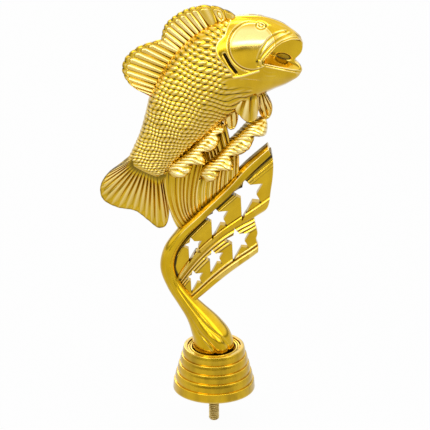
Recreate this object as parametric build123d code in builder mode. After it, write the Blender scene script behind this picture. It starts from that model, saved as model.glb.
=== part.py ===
from build123d import *
import math
import os

# Fish figurine for the top of an award: a leaping fish over two wave crests, on a fluted stem that
# runs on as the top rail of a star-pierced ribbon, above a stepped base with a threaded stud.
# Millimetres. +Z is up and the origin is the middle of the face that the base stands on.
# The figure is flat like a medal: it lies along X and Z, and the viewer stands on the -Y side.

# Figure
figure_span = 100.0  # the length that outline shares follow, about tail fin to lips
seat_gap = 0.15  # clearance between pieces that stand in one another

# Base
base_radius = 20.0
base_height = 22.2
rim_radius = 14.8  # outside of the top rim
tier_count = 5
tier_ledge = 0.85  # width of the step between two tiers
tier_bevel = 0.35
base_wall = 1.8
deck_thickness = 3.0
recess_radius = 13.1
recess_depth = 1.3
well_radius = 10.7
well_depth = 5.2
rib_count = 6
rib_thickness = 1.4
rib_height = 6.5

# Collar ring
collar_height = 0.9
collar_bevel = 0.3

# Stud, washer and nut
stud_radius = 2.5
stud_exposed = 18.0  # below the seat
stud_tip_chamfer = 0.6
shank_radius = 2.2  # inside the base, the bare blank
shank_engagement = 9.0  # length held inside the stem's foot
thread_clearance = 0.1
washer_radius = 5.0
washer_thickness = 1.0
nut_across_flats = 8.0
nut_height = 4.0
nut_chamfer = 0.4

# Stem and rail
foot_radius = 9.9
flute_depth_share = 0.14  # of the section's radius

# Ribbon
panel_half = 1.5  # half thickness of the thinnest strip
panel_step = 0.45  # what each raised strip adds
cut_half = 6.0  # half depth of the cuts through the ribbon
edge_cut_share = 0.35  # how far past the ribbon's free edge it is trimmed
star_size = 10.0  # centre to the long lower tip of the largest star is 1.4 of this

# Water
skirt_half = 3.0
skirt_groove = 1.1
skirt_flutes = 8
crest_radius = 4.8  # half height of a crest's rope
crest_swell = 1.2  # how much the rope's beads stand out
crest_depth_share = 1.45  # depth of a crest's section, of its height
crest_beads = 5

# Fish
body_half = 11.5  # half thickness at the shoulder
cheek_radius = 11.2
cheek_raise_share = 0.06  # of the local half thickness
gill_radius = 16.8
gill_raise_share = 0.03
mouth_web_half = 1.8

# Fins
fin_root_half = 2.0
tail_root_half = 3.2
fin_edge_half = 1.0
fin_groove_share = 0.5  # depth of a groove between two rays, of the local half thickness
scallop_rise = 0.45
spiny_rays = 13
soft_rays = 9
tail_rays = 18
paired_fin_half = 1.7
paired_fin_rays = 5
pectoral_offset = 4.6  # from the mid plane to the middle of each pectoral fin

os.makedirs("parts", exist_ok=True)


def spot(share):
    """A place on the mid plane as (x, z), from shares of the figure's span above the base's rim."""
    return (share[0] * figure_span, base_height + share[1] * figure_span)


def point(share):
    """The same place as a point in space."""
    x, z = spot(share)
    return Vector(x, 0, z)


def cross_plane(start, end):
    """A plane through two places, square to the mid plane: local x runs start to end, local y is depth."""
    along = (point(end) - point(start)).normalized()
    return Plane(origin=point(start), x_dir=along, z_dir=Vector(along.Z, 0, -along.X))


def section_points(length, half, rays, groove_share):
    """A closed zigzag section, with a ray on each side at every peak."""
    front = []
    for index in range(2 * rays + 1):
        depth = half if index % 2 else half * (1 - groove_share)
        front.append((index * length / (2 * rays), depth))
    back = [(x, -depth) for x, depth in reversed(front)]
    return front + back + [front[0]]


def ray_slab(lines, halves, rays, groove_share=fin_groove_share):
    """A fan of rays: a ruled loft through zigzag sections, one on each line of two places."""
    with BuildPart() as slab:
        for (start, end), half in zip(lines, halves):
            length = (point(end) - point(start)).length
            with BuildSketch(cross_plane(start, end)):
                with BuildLine():
                    Polyline(*section_points(length, half, rays, groove_share))
                make_face()
        loft(ruled=True)
    return slab.part


# Base cup: a turned skirt of five rounded tiers, with a deck, a well for the stem's foot and ribs below
tier_height = base_height / tier_count
tier_taper = (base_radius - rim_radius - (tier_count - 1) * tier_ledge) / tier_count
deck_top = base_height - well_depth
deck_bottom = deck_top - deck_thickness
bore_radius = stud_radius + thread_clearance
rib_start = washer_radius + 2 * seat_gap
rib_end = rim_radius - base_wall / 2

outer_points = []
for tier in range(tier_count):
    tier_foot = base_radius - tier * (tier_taper + tier_ledge)
    tier_top = (tier + 1) * tier_height
    outer_points.append((tier_foot, tier * tier_height))
    outer_points.append((tier_foot - tier_taper, tier_top - tier_bevel))
    outer_points.append((tier_foot - tier_taper - tier_bevel, tier_top))

with BuildPart() as base_cup:
    with BuildSketch(Plane.XZ):
        with BuildLine():
            Polyline(
                *outer_points,
                (recess_radius, base_height),
                (recess_radius, base_height - recess_depth),
                (well_radius, base_height - recess_depth),
                (well_radius, deck_top),
                (bore_radius, deck_top),
                (bore_radius, deck_bottom),
                (rim_radius - base_wall, deck_bottom),
                (base_radius - base_wall, 0),
                (base_radius, 0),
            )
        make_face()
    revolve(axis=Axis.Z)
    with BuildSketch(Plane.XY.offset(deck_bottom)):
        with PolarLocations((rib_start + rib_end) / 2, rib_count):
            Rectangle(rib_end - rib_start, rib_thickness)
    extrude(amount=-rib_height)
base_cup.part.label = "base_cup"

# Collar ring: lies in the recess round the stem's foot
with BuildPart() as collar_ring:
    with BuildSketch(Plane.XY.offset(base_height - recess_depth)):
        Circle(recess_radius - seat_gap)
        Circle(well_radius - seat_gap, mode=Mode.SUBTRACT)
    extrude(amount=collar_height)
    chamfer(collar_ring.faces().sort_by(Axis.Z)[-1].edges(), length=collar_bevel)
collar_ring.part.label = "collar_ring"

# Threaded stud: full radius below the seat, a bare shank above it
shank_top = deck_top + shank_engagement
with BuildPart() as threaded_stud:
    with BuildSketch(Plane.XY):
        Circle(stud_radius)
    extrude(amount=-stud_exposed)
    chamfer(threaded_stud.faces().sort_by(Axis.Z)[0].edges(), length=stud_tip_chamfer)
    with BuildSketch(Plane.XY):
        Circle(shank_radius)
    extrude(amount=shank_top)
threaded_stud.part.label = "threaded_stud"

# Clamp washer and nut: under the deck, round the shank
with BuildPart() as clamp_washer:
    with BuildSketch(Plane.XY.offset(deck_bottom)):
        Circle(washer_radius)
        Circle(shank_radius + thread_clearance, mode=Mode.SUBTRACT)
    extrude(amount=-washer_thickness)
clamp_washer.part.label = "clamp_washer"

with BuildPart() as clamp_nut:
    with BuildSketch(Plane.XY.offset(deck_bottom - washer_thickness)):
        RegularPolygon(nut_across_flats / 2, 6, major_radius=False)
        Circle(shank_radius + thread_clearance, mode=Mode.SUBTRACT)
    extrude(amount=-nut_height)
    chamfer(clamp_nut.edges().filter_by(GeomType.CIRCLE).group_by(Axis.Z)[0], length=nut_chamfer)
clamp_nut.part.label = "clamp_nut"

# Stem and rail: a loft of fluted sections up an S curve. Each row gives the place of the section's
# middle, the direction of the path in degrees, the half width and half depth as shares of the foot's
# radius, and the angles of the two creases on the near side.
stem_row_shares = [
    ((-0.004, 0.020), 90, 1.00, 1.00, 271, 321),
    ((-0.014, 0.064), 98, 0.93, 0.96, 258, 306),
    ((-0.037, 0.106), 109, 0.80, 0.86, 246, 291),
    ((-0.089, 0.183), 124, 0.56, 0.64, 236, 280),
    ((-0.141, 0.253), 126, 0.44, 0.52, 240, 282),
    ((-0.194, 0.335), 117, 0.38, 0.46, 246, 290),
    ((-0.226, 0.430), 92, 0.37, 0.44, 248, 296),
    ((-0.212, 0.515), 69, 0.35, 0.44, 246, 300),
    ((-0.165, 0.594), 55, 0.32, 0.44, 244, 304),
    ((-0.052, 0.718), 48, 0.30, 0.44, 242, 308),
    ((0.088, 0.866), 47, 0.31, 0.42, 242, 308),
    ((0.172, 0.966), 48, 0.34, 0.38, 242, 308),
    ((0.256, 1.054), 46, 0.32, 0.32, 242, 308),
]
foot_bottom = deck_top


def fluted_section(half_width, half_depth, first_crease, second_crease):
    """Four lobes as arcs between creases: a wide one on each edge and a narrow one on each side."""
    creases = [360 - second_crease, 360 - first_crease, first_crease, second_crease, 720 - second_crease]

    def at(angle, radius_share):
        return (
            half_width * radius_share * math.cos(math.radians(angle)),
            half_depth * radius_share * math.sin(math.radians(angle)),
        )

    crease_share = 1 - flute_depth_share
    for start, end in zip(creases, creases[1:]):
        ThreePointArc(at(start, crease_share), at((start + end) / 2, 1), at(end, crease_share))


with BuildPart() as stem:
    for place, heading, width_share, depth_share, *crease_angles in stem_row_shares:
        tilt = math.radians(heading)
        plane = Plane(
            origin=point(place),
            x_dir=Vector(math.sin(tilt), 0, -math.cos(tilt)),
            z_dir=Vector(math.cos(tilt), 0, math.sin(tilt)),
        )
        with BuildSketch(plane):
            with BuildLine():
                fluted_section(foot_radius * width_share, foot_radius * depth_share, *crease_angles)
            make_face()
    loft()
    foot_x, foot_z = spot(stem_row_shares[0][0])
    with BuildSketch(Plane(origin=(foot_x, 0, foot_bottom))):
        with BuildLine():
            fluted_section(foot_radius, foot_radius, *stem_row_shares[0][-2:])
        make_face()
    extrude(amount=foot_z - foot_bottom)
    with BuildSketch(Plane.XY.offset(foot_bottom)):
        Circle(shank_radius + thread_clearance)
    extrude(amount=shank_engagement + seat_gap, mode=Mode.SUBTRACT)

# Fish: a loft of lens sections, each on a line from the back to the belly. Each row gives the place on
# the back, the place on the belly and the half thickness as a share of the shoulder's.
fish_row_shares = [
    ((-0.424, 0.997), (-0.248, 0.905), 0.42),
    ((-0.394, 1.062), (-0.222, 0.950), 0.52),
    ((-0.360, 1.148), (-0.184, 0.998), 0.64),
    ((-0.332, 1.256), (-0.132, 1.048), 0.77),
    ((-0.312, 1.348), (-0.080, 1.098), 0.87),
    ((-0.278, 1.440), (-0.026, 1.146), 0.94),
    ((-0.224, 1.540), (0.030, 1.196), 0.98),
    ((-0.146, 1.634), (0.086, 1.240), 1.00),
    ((-0.060, 1.706), (0.138, 1.282), 1.00),
    ((0.024, 1.750), (0.180, 1.316), 0.99),
    ((0.097, 1.769), (0.216, 1.340), 0.97),
    ((0.175, 1.773), (0.256, 1.364), 0.93),
    ((0.248, 1.764), (0.297, 1.385), 0.86),
    ((0.321, 1.737), (0.341, 1.404), 0.75),
    ((0.370, 1.704), (0.372, 1.422), 0.64),
    ((0.404, 1.672), (0.400, 1.444), 0.52),
    ((0.425, 1.640), (0.423, 1.474), 0.38),
]
# A section's outline: shares of its length, and of its half thickness
lens_shares = [(0, 0), (0.06, 0.46), (0.20, 0.80), (0.45, 1.00), (0.70, 0.90), (0.91, 0.52), (1, 0)]


def half_body(swell=1.0):
    """The near half of the fish as a loft; swell widens it for the cheek plate."""
    with BuildPart() as body:
        for back, belly, thick_share in fish_row_shares:
            length = (point(belly) - point(back)).length
            half = body_half * thick_share * swell
            with BuildSketch(cross_plane(back, belly)):
                with BuildLine():
                    Spline(*[(along * length, half * out) for along, out in lens_shares])
                    Line((length, 0), (0, 0))
                make_face()
        loft()
    return body.part


# The mouth is a recess in each side, down to a thin web whose front edge is notched
mouth_shares = [
    (0.450, 1.668), (0.370, 1.677), (0.321, 1.661), (0.287, 1.637), (0.258, 1.602), (0.236, 1.570),
    (0.263, 1.552), (0.321, 1.526), (0.370, 1.508), (0.450, 1.499),
]
notch_shares = [(0.450, 1.605), (0.409, 1.575), (0.390, 1.542), (0.402, 1.518), (0.450, 1.500)]
cheek_place_share = (0.185, 1.650)
gill_place_share = (0.186, 1.636)

near_body = half_body()


def head_plate(place, radius, raise_share):
    """A round plate that stands out from the head: a wider body trimmed to a disc."""
    with BuildPart() as plate:
        add(half_body(1 + raise_share))
        with BuildSketch(Plane.XZ):
            with Locations(spot(place)):
                Circle(radius)
        extrude(amount=2 * body_half, mode=Mode.INTERSECT)
    return plate.part


with BuildPart() as fish_near_half:
    add(near_body)
    add(head_plate(gill_place_share, gill_radius, gill_raise_share))
    add(head_plate(cheek_place_share, cheek_radius, cheek_raise_share))
    with BuildSketch(Plane.XZ.offset(mouth_web_half)):
        with BuildLine():
            Spline(*[spot(share) for share in mouth_shares])
            Line(spot(mouth_shares[-1]), spot(mouth_shares[0]))
        make_face()
    extrude(amount=2 * body_half, mode=Mode.SUBTRACT)
    with BuildSketch(Plane.XZ):
        with BuildLine():
            Spline(*[spot(share) for share in notch_shares])
            Line(spot(notch_shares[-1]), spot(notch_shares[0]))
        make_face()
    extrude(amount=2 * body_half, mode=Mode.SUBTRACT)
fish_near_half.part.label = "fish_near_half"

with BuildPart() as fish_far_half:
    mirror(fish_near_half.part, about=Plane.XZ)
fish_far_half.part.label = "fish_far_half"

# What fins and waves are trimmed by: the plain body, or one as wide as the gill plates near the head
plate_body = half_body(1 + gill_raise_share)
plain_halves = [near_body, near_body.mirror(Plane.XZ)]
plated_halves = [plate_body, plate_body.mirror(Plane.XZ)]


def scalloped_fin(notches, closing, rise, ray_lines, rays, trims):
    """A fin of fanned rays: arcs through the notches, then straight lines through the closing places."""
    with BuildPart() as fin:
        with BuildSketch(Plane.XZ):
            with BuildLine():
                for start, end in zip(notches, notches[1:]):
                    SagittaArc(spot(start), spot(end), rise)
                Polyline(*[spot(share) for share in [notches[-1], *closing, notches[0]]])
            make_face()
        extrude(amount=fin_root_half, both=True)
        add(ray_slab(ray_lines, [fin_root_half, fin_edge_half], rays), mode=Mode.INTERSECT)
        add(trims, mode=Mode.SUBTRACT)
    return fin.part


# Spiny dorsal fin: the front lobe, fanned rays under a scalloped edge
fin_parting_shares = [(-0.150, 1.608), (-0.248, 1.650)]
spiny_notch_shares = [
    (-0.248, 1.650), (-0.247, 1.682), (-0.240, 1.712), (-0.222, 1.741), (-0.196, 1.765), (-0.164, 1.786),
    (-0.130, 1.800), (-0.093, 1.810), (-0.054, 1.817), (-0.016, 1.816), (0.022, 1.808), (0.062, 1.791),
    (0.110, 1.764),
]
spiny_root_shares = [(0.060, 1.700), (-0.080, 1.600), fin_parting_shares[0]]
spiny_ray_shares = [((-0.190, 1.530), (0.170, 1.700)), ((-0.420, 1.640), (-0.060, 1.990))]
spiny_dorsal_fin = scalloped_fin(
    spiny_notch_shares, spiny_root_shares, scallop_rise, spiny_ray_shares, spiny_rays, plated_halves
)
spiny_dorsal_fin.label = "spiny_dorsal_fin"

# Soft dorsal fin: the rear lobe
soft_notch_shares = [
    (-0.312, 1.353), (-0.356, 1.364), (-0.394, 1.391), (-0.420, 1.428), (-0.438, 1.470), (-0.443, 1.510),
    (-0.430, 1.547), (-0.399, 1.581), (-0.351, 1.610), (-0.300, 1.630), (-0.248, 1.650),
]
soft_root_shares = [fin_parting_shares[0], (-0.230, 1.480), (-0.280, 1.350)]
soft_ray_shares = [((-0.290, 1.290), (-0.120, 1.640)), ((-0.520, 1.310), (-0.340, 1.760))]
soft_dorsal_fin = scalloped_fin(
    soft_notch_shares, soft_root_shares, -scallop_rise, soft_ray_shares, soft_rays, plain_halves
)
soft_dorsal_fin.label = "soft_dorsal_fin"

# Tail fin: a wide fan with a plain edge
tail_edge_shares = [
    (-0.424, 0.997), (-0.468, 0.966), (-0.506, 0.939), (-0.540, 0.900), (-0.556, 0.842), (-0.540, 0.790),
    (-0.500, 0.760), (-0.440, 0.747), (-0.385, 0.730), (-0.335, 0.690), (-0.290, 0.648), (-0.252, 0.632),
    (-0.226, 0.655), (-0.217, 0.720), (-0.222, 0.800), (-0.240, 0.870), (-0.248, 0.905),
]
tail_root_shares = [(-0.240, 0.960), (-0.380, 1.040)]
tail_ray_shares = [((-0.470, 1.060), (-0.190, 0.900)), ((-0.700, 0.760), (-0.170, 0.520))]
tail_closing_shares = [tail_edge_shares[-1], *tail_root_shares, tail_edge_shares[0]]
with BuildPart() as tail_fin:
    with BuildSketch(Plane.XZ):
        with BuildLine():
            Spline(*[spot(share) for share in tail_edge_shares])
            Polyline(*[spot(share) for share in tail_closing_shares])
        make_face()
    extrude(amount=tail_root_half, both=True)
    add(ray_slab(tail_ray_shares, [tail_root_half, fin_edge_half], tail_rays), mode=Mode.INTERSECT)
    add(plain_halves, mode=Mode.SUBTRACT)
tail_fin.part.label = "tail_fin"

# Ribbon: two tiers of raised strips between rows of places, each with three star openings
rail_row_shares = [
    (-0.222, 0.440), (-0.180, 0.560), (-0.110, 0.652), (-0.020, 0.748), (0.075, 0.850), (0.165, 0.950),
    (0.330, 1.110),
]
fold_row_shares = [
    (-0.190, 0.330), (-0.118, 0.435), (-0.045, 0.522), (0.039, 0.597), (0.127, 0.657), (0.195, 0.697),
    (0.300, 0.770),
]
border_row_shares = [
    (-0.120, 0.225), (-0.055, 0.280), (0.005, 0.336), (0.068, 0.392), (0.131, 0.443), (0.180, 0.481),
    (0.260, 0.548),
]
upper_edge_shares = [
    (0.264, 1.104), (0.286, 1.010), (0.277, 0.850), (0.256, 0.750), (0.232, 0.718), (0.190, 0.680),
]
lower_edge_shares = [
    (0.194, 0.702), (0.204, 0.650), (0.212, 0.610), (0.206, 0.585), (0.216, 0.540), (0.210, 0.490),
]
# Each strip: where it starts and ends across the tier, and how many steps it stands up
upper_strip_shares = [(0, 0.26, 2), (0.26, 0.40, 1), (0.40, 0.80, 0), (0.80, 0.91, 1), (0.91, 1, 3)]
lower_strip_shares = [(0, 0.10, 1), (0.10, 0.76, 0), (0.76, 0.88, 1), (0.88, 1, 3)]
# Star outline: tips and inner corners in turn, as shares of the star's size
star_shares = [
    (-0.20, 0.76), (0.10, 0.43), (0.68, 0.49), (0.39, -0.05), (0.63, -0.49),
    (0.19, -0.43), (-0.29, -1.40), (-0.34, -0.27), (-0.83, 0.00), (-0.27, 0.32),
]
# Each star: its middle, and its size as a share of the largest
upper_star_shares = [((0.166, 0.829), 1.0), ((0.015, 0.694), 0.77), ((-0.102, 0.543), 0.60)]
lower_star_shares = [((0.117, 0.575), 0.80), ((0.002, 0.478), 0.60), ((-0.093, 0.370), 0.56)]


def between(first, second, share):
    """The place part of the way from one place to another."""
    return (first[0] + (second[0] - first[0]) * share, first[1] + (second[1] - first[1]) * share)


def ribbon_tier(upper_row, lower_row, strips, edge):
    """One tier: strips of stepped thickness between two rows, trimmed at the free edge."""
    with BuildPart() as tier:
        for start, end, steps in strips:
            top = [spot(between(a, b, start)) for a, b in zip(upper_row, lower_row)]
            bottom = [spot(between(a, b, end)) for a, b in zip(upper_row, lower_row)]
            with BuildSketch(Plane.XZ):
                with BuildLine():
                    Spline(*top)
                    Line(top[-1], bottom[-1])
                    Spline(*reversed(bottom))
                    Line(bottom[0], top[0])
                make_face()
            extrude(amount=panel_half + steps * panel_step, both=True)
        with BuildSketch(Plane.XZ):
            with BuildLine():
                below = (edge[-1][0] + edge_cut_share, edge[-1][1] - edge_cut_share)
                above = (edge[0][0] + edge_cut_share, edge[0][1] + edge_cut_share)
                Spline(*[spot(share) for share in edge])
                Polyline(*[spot(share) for share in (edge[-1], below, above, edge[0])])
            make_face()
        extrude(amount=cut_half, both=True, mode=Mode.SUBTRACT)
    return tier.part


def pierced(blank, stars):
    """The tier with its star openings."""
    with BuildPart() as panel:
        add(blank)
        for middle, size_share in stars:
            x, z = spot(middle)
            size = star_size * size_share
            with BuildSketch(Plane.XZ):
                with BuildLine():
                    Polyline(*[(x + a * size, z + b * size) for a, b in star_shares], close=True)
                make_face()
            extrude(amount=cut_half, both=True, mode=Mode.SUBTRACT)
    return panel.part


upper_blank = ribbon_tier(rail_row_shares, fold_row_shares, upper_strip_shares, upper_edge_shares)
lower_blank = ribbon_tier(fold_row_shares, border_row_shares, lower_strip_shares, lower_edge_shares)
upper_star_panel = pierced(upper_blank, upper_star_shares)
upper_star_panel.label = "upper_star_panel"
lower_star_panel = pierced(lower_blank, lower_star_shares)
lower_star_panel.label = "lower_star_panel"

# The stem is moulded as two halves that meet on the mid plane, with the panels' edges held between them
stem_halves = []
for half_name, kept in (("stem_near_half", Keep.TOP), ("stem_far_half", Keep.BOTTOM)):
    with BuildPart() as stem_half:
        add(stem.part)
        split(bisect_by=Plane.XZ, keep=kept)
        add([upper_blank, lower_blank], mode=Mode.SUBTRACT)
    stem_half.part.label = half_name
    stem_halves.append(stem_half.part)

# Wave crests: a beaded rope of foam along each curved path
# Each row: a place on the path and the half height there, as a share of the thickest
rear_crest_shares = [
    ((-0.232, 0.950), 0.62), ((-0.195, 0.968), 0.84), ((-0.150, 0.990), 0.98), ((-0.090, 1.038), 1.05),
    ((-0.034, 1.112), 0.84), ((0.012, 1.162), 0.76), ((0.042, 1.204), 0.40),
]
front_crest_shares = [
    ((-0.066, 0.916), 0.70), ((-0.029, 0.948), 0.92), ((0.039, 1.002), 1.02), ((0.097, 1.078), 0.80),
    ((0.146, 1.126), 0.86), ((0.209, 1.186), 0.90), ((0.250, 1.222), 0.50),
]


def crest(rows):
    """A loft of oval sections along the path, swelling at each bead."""
    path = Spline(*[point(place) for place, share in rows], mode=Mode.PRIVATE)
    with BuildPart() as rope:
        for index in range(2 * crest_beads + 1):
            along = index / (2 * crest_beads)
            cell = min(int(along * (len(rows) - 1)), len(rows) - 2)
            part_way = along * (len(rows) - 1) - cell
            share = rows[cell][1] + (rows[cell + 1][1] - rows[cell][1]) * part_way
            swell = crest_swell / 2 if index % 2 else -crest_swell / 2
            radius = (crest_radius + swell) * share
            with BuildSketch(Plane(origin=path @ along, x_dir=(0, 1, 0), z_dir=path % along)):
                Ellipse(radius * crest_depth_share, radius)
        loft(ruled=True)
    return rope.part


rear_rope = crest(rear_crest_shares)
front_rope = crest(front_crest_shares)
with BuildPart() as rear_wave_crest:
    add(rear_rope)
    add(plain_halves, mode=Mode.SUBTRACT)
    add(tail_fin.part, mode=Mode.SUBTRACT)
rear_wave_crest.part.label = "rear_wave_crest"
with BuildPart() as front_wave_crest:
    add(front_rope)
    add(rear_rope, mode=Mode.SUBTRACT)
    add(plain_halves, mode=Mode.SUBTRACT)
front_wave_crest.part.label = "front_wave_crest"

# Water skirts: fluted sheets from each crest down to the rail
rear_skirt_shares = [
    (-0.228, 0.948), (-0.155, 0.985), (-0.090, 1.035), (-0.032, 1.113), (0.012, 1.160), (0.036, 1.190),
    (0.072, 1.178), (0.080, 1.110), (0.083, 1.060), (0.039, 1.002), (-0.029, 0.948), (-0.076, 0.910),
    (-0.092, 0.878), (-0.095, 0.786), (-0.078, 0.700), (-0.166, 0.590), (-0.195, 0.655), (-0.208, 0.720),
    (-0.212, 0.790), (-0.230, 0.870),
]
rear_flute_shares = [
    ((-0.270, 0.960), (0.060, 1.240)), ((-0.245, 0.850), (0.090, 1.000)), ((-0.230, 0.740), (0.080, 0.800)),
    ((-0.190, 0.560), (0.060, 0.640)),
]
front_skirt_shares = [
    (-0.076, 0.908), (-0.029, 0.948), (0.039, 1.002), (0.097, 1.078), (0.124, 1.108), (0.124, 0.900),
    (-0.068, 0.712), (-0.088, 0.770), (-0.088, 0.860),
]
front_flute_shares = [
    ((-0.110, 0.930), (0.150, 1.200)), ((-0.100, 0.820), (0.150, 1.000)), ((-0.080, 0.680), (0.150, 0.840)),
]


def skirt(outline, lines, trims):
    """A fluted sheet inside its outline, less the pieces that it runs into."""
    with BuildPart() as sheet:
        with BuildSketch(Plane.XZ):
            with BuildLine():
                Polyline(*[spot(share) for share in outline], close=True)
            make_face()
        extrude(amount=skirt_half, both=True)
        flutes = ray_slab(lines, [skirt_half] * len(lines), skirt_flutes, skirt_groove / skirt_half)
        add(flutes, mode=Mode.INTERSECT)
        for trim in trims:
            add(trim, mode=Mode.SUBTRACT)
    return sheet.part


rear_water_skirt = skirt(rear_skirt_shares, rear_flute_shares, [rear_rope, front_rope, stem.part])
rear_water_skirt.label = "rear_water_skirt"
front_water_skirt = skirt(front_skirt_shares, front_flute_shares, [front_rope, stem.part])
front_water_skirt.label = "front_water_skirt"

# Paired fins: ribbed leaves that hang from the throat onto the front crest
near_pectoral_shares = [
    (0.150, 1.390), (0.195, 1.400), (0.214, 1.330), (0.216, 1.264), (0.190, 1.200), (0.156, 1.228),
    (0.128, 1.262), (0.104, 1.323),
]
far_pectoral_shares = [
    (0.205, 1.350), (0.240, 1.330), (0.270, 1.285), (0.288, 1.235), (0.280, 1.192), (0.240, 1.180),
    (0.215, 1.250),
]
pelvic_shares = [
    (0.034, 1.270), (0.112, 1.300), (0.118, 1.235), (0.092, 1.185), (0.070, 1.166), (0.040, 1.200),
]
near_pectoral_ray_shares = [((0.090, 1.410), (0.230, 1.410)), ((0.110, 1.160), (0.225, 1.160))]
far_pectoral_ray_shares = [((0.160, 1.340), (0.260, 1.390)), ((0.230, 1.150), (0.320, 1.180))]
pelvic_ray_shares = [((0.010, 1.310), (0.130, 1.310)), ((0.030, 1.140), (0.130, 1.140))]


def paired_fin(outline, lines, depth, waves):
    """A leaf-shaped fin, depth behind the mid plane, trimmed by the body and by the waves it meets."""
    leaf = ray_slab(lines, [paired_fin_half] * 2, paired_fin_rays).moved(Location((0, depth, 0)))
    with BuildPart() as fin:
        with BuildSketch(Plane.XZ.offset(-depth)):
            with BuildLine():
                Spline(*[spot(share) for share in outline], periodic=True)
            make_face()
        extrude(amount=paired_fin_half, both=True)
        add(leaf, mode=Mode.INTERSECT)
        add([*plain_halves, *waves], mode=Mode.SUBTRACT)
    return fin.part


near_pectoral_fin = paired_fin(
    near_pectoral_shares, near_pectoral_ray_shares, -pectoral_offset, [front_rope]
)
near_pectoral_fin.label = "near_pectoral_fin"
far_pectoral_fin = paired_fin(
    far_pectoral_shares, far_pectoral_ray_shares, pectoral_offset, [front_rope]
)
far_pectoral_fin.label = "far_pectoral_fin"
pelvic_waves = [rear_rope, front_rope, rear_water_skirt]
pelvic_fin = paired_fin(pelvic_shares, pelvic_ray_shares, 0, pelvic_waves)
pelvic_fin.label = "pelvic_fin"

pieces = [
    base_cup.part,
    collar_ring.part,
    threaded_stud.part,
    clamp_washer.part,
    clamp_nut.part,
    *stem_halves,
    fish_near_half.part,
    fish_far_half.part,
    spiny_dorsal_fin,
    soft_dorsal_fin,
    tail_fin.part,
    upper_star_panel,
    lower_star_panel,
    rear_wave_crest.part,
    front_wave_crest.part,
    rear_water_skirt,
    front_water_skirt,
    near_pectoral_fin,
    far_pectoral_fin,
    pelvic_fin,
]
for piece in pieces:
    export_step(piece, f"parts/{piece.label}.step")
    print(piece.label, len(piece.solids()), round(piece.volume), piece.is_valid)
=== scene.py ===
import logging
import math
from dataclasses import dataclass
from enum import Enum
from typing import Callable, Optional, Sequence

import bmesh
import bpy
import numpy as np
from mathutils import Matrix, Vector
from mathutils.geometry import delaunay_2d_cdt


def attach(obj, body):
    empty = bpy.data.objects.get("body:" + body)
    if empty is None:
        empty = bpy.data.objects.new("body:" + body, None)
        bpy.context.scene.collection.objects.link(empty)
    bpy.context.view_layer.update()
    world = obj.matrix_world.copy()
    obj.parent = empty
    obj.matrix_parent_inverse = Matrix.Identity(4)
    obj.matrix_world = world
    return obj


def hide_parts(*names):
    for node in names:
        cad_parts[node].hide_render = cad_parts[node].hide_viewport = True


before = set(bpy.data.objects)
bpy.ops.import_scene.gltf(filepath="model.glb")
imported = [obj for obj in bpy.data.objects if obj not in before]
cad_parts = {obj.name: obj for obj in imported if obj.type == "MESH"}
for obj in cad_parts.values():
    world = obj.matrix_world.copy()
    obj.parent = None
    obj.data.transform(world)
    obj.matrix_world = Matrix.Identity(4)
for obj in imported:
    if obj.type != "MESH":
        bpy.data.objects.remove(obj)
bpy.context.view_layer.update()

# Looks for a gold-plated award figure: a leaping fish over two rope-like waves, a twisted fluted
# stem that turns into the rail of a star-pierced ribbon, and a stepped base with a threaded stud.
# Metres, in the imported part's frame: +Z up, the viewer on the -Y side, the figure along X and Z.

Array = np.ndarray
Thing = bpy.types.Object
Tree = bpy.types.NodeTree
Finish = bpy.types.Material
Places = Sequence[tuple[float, float]]
Colour = tuple[float, float, float, float]
Range = tuple[float, float]
MM = 0.001
TINY = 1e-12  # keeps divisions by a length off zero
SPAN = 100 * MM  # what a share of the outline tables stands for
RIM = 22.2 * MM  # height of the base, where the outline tables start

# How the picture sees the mid plane: a picture place is across and down in picture units
AXIS_ACROSS = 214.0  # the stud's axis
SEAT_DOWN = 386.7  # the seat's middle
UNIT_ACROSS = 0.487 * MM
UNIT_DOWN = 0.5396 * MM
DEPTH_DOWN = 0.883 / MM  # how far a point appears lower for each metre towards the viewer

log = logging.getLogger("fish_figure")


class Slot(Enum):
    """The record's material slots."""

    GOLD = "gold_plastic"
    STEEL = "zinc_steel"


class Side(Enum):
    """Which side of the mid plane a half lies on, as the sign of its depth."""

    NEAR = -1
    FAR = 1


# Places and curves


def spots(shares: Places) -> Array:
    """Turn outline shares into x and z.

    Args:
        shares: places as shares of the span above the base's rim.

    Returns:
        An array of x and z in metres.
    """
    return np.asarray(shares, float) * SPAN + (0.0, RIM)


def drawn(places: Places, depth: float = 0.0) -> Array:
    """Turn picture places into x and z: each unit across and down has its length.

    Args:
        places: picture places across and down.
        depth: how far towards the viewer the places lie, in metres.

    Returns:
        An array of x and z in metres.
    """
    points = np.asarray(places, float)
    across = (points[:, 0] - AXIS_ACROSS) * UNIT_ACROSS
    up = (SEAT_DOWN + depth * DEPTH_DOWN - points[:, 1]) * UNIT_DOWN
    return np.stack([across, up], axis=-1)


def seen(points: Array) -> Array:
    """Give the picture place of points in space, the other way round from drawn.

    Args:
        points: x, y and z in the last axis, in metres.

    Returns:
        Picture places in the last axis.
    """
    across = AXIS_ACROSS + points[..., 0] / UNIT_ACROSS
    down = SEAT_DOWN - points[..., 2] / UNIT_DOWN - points[..., 1] * DEPTH_DOWN
    return np.stack([across, down], axis=-1)


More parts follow.
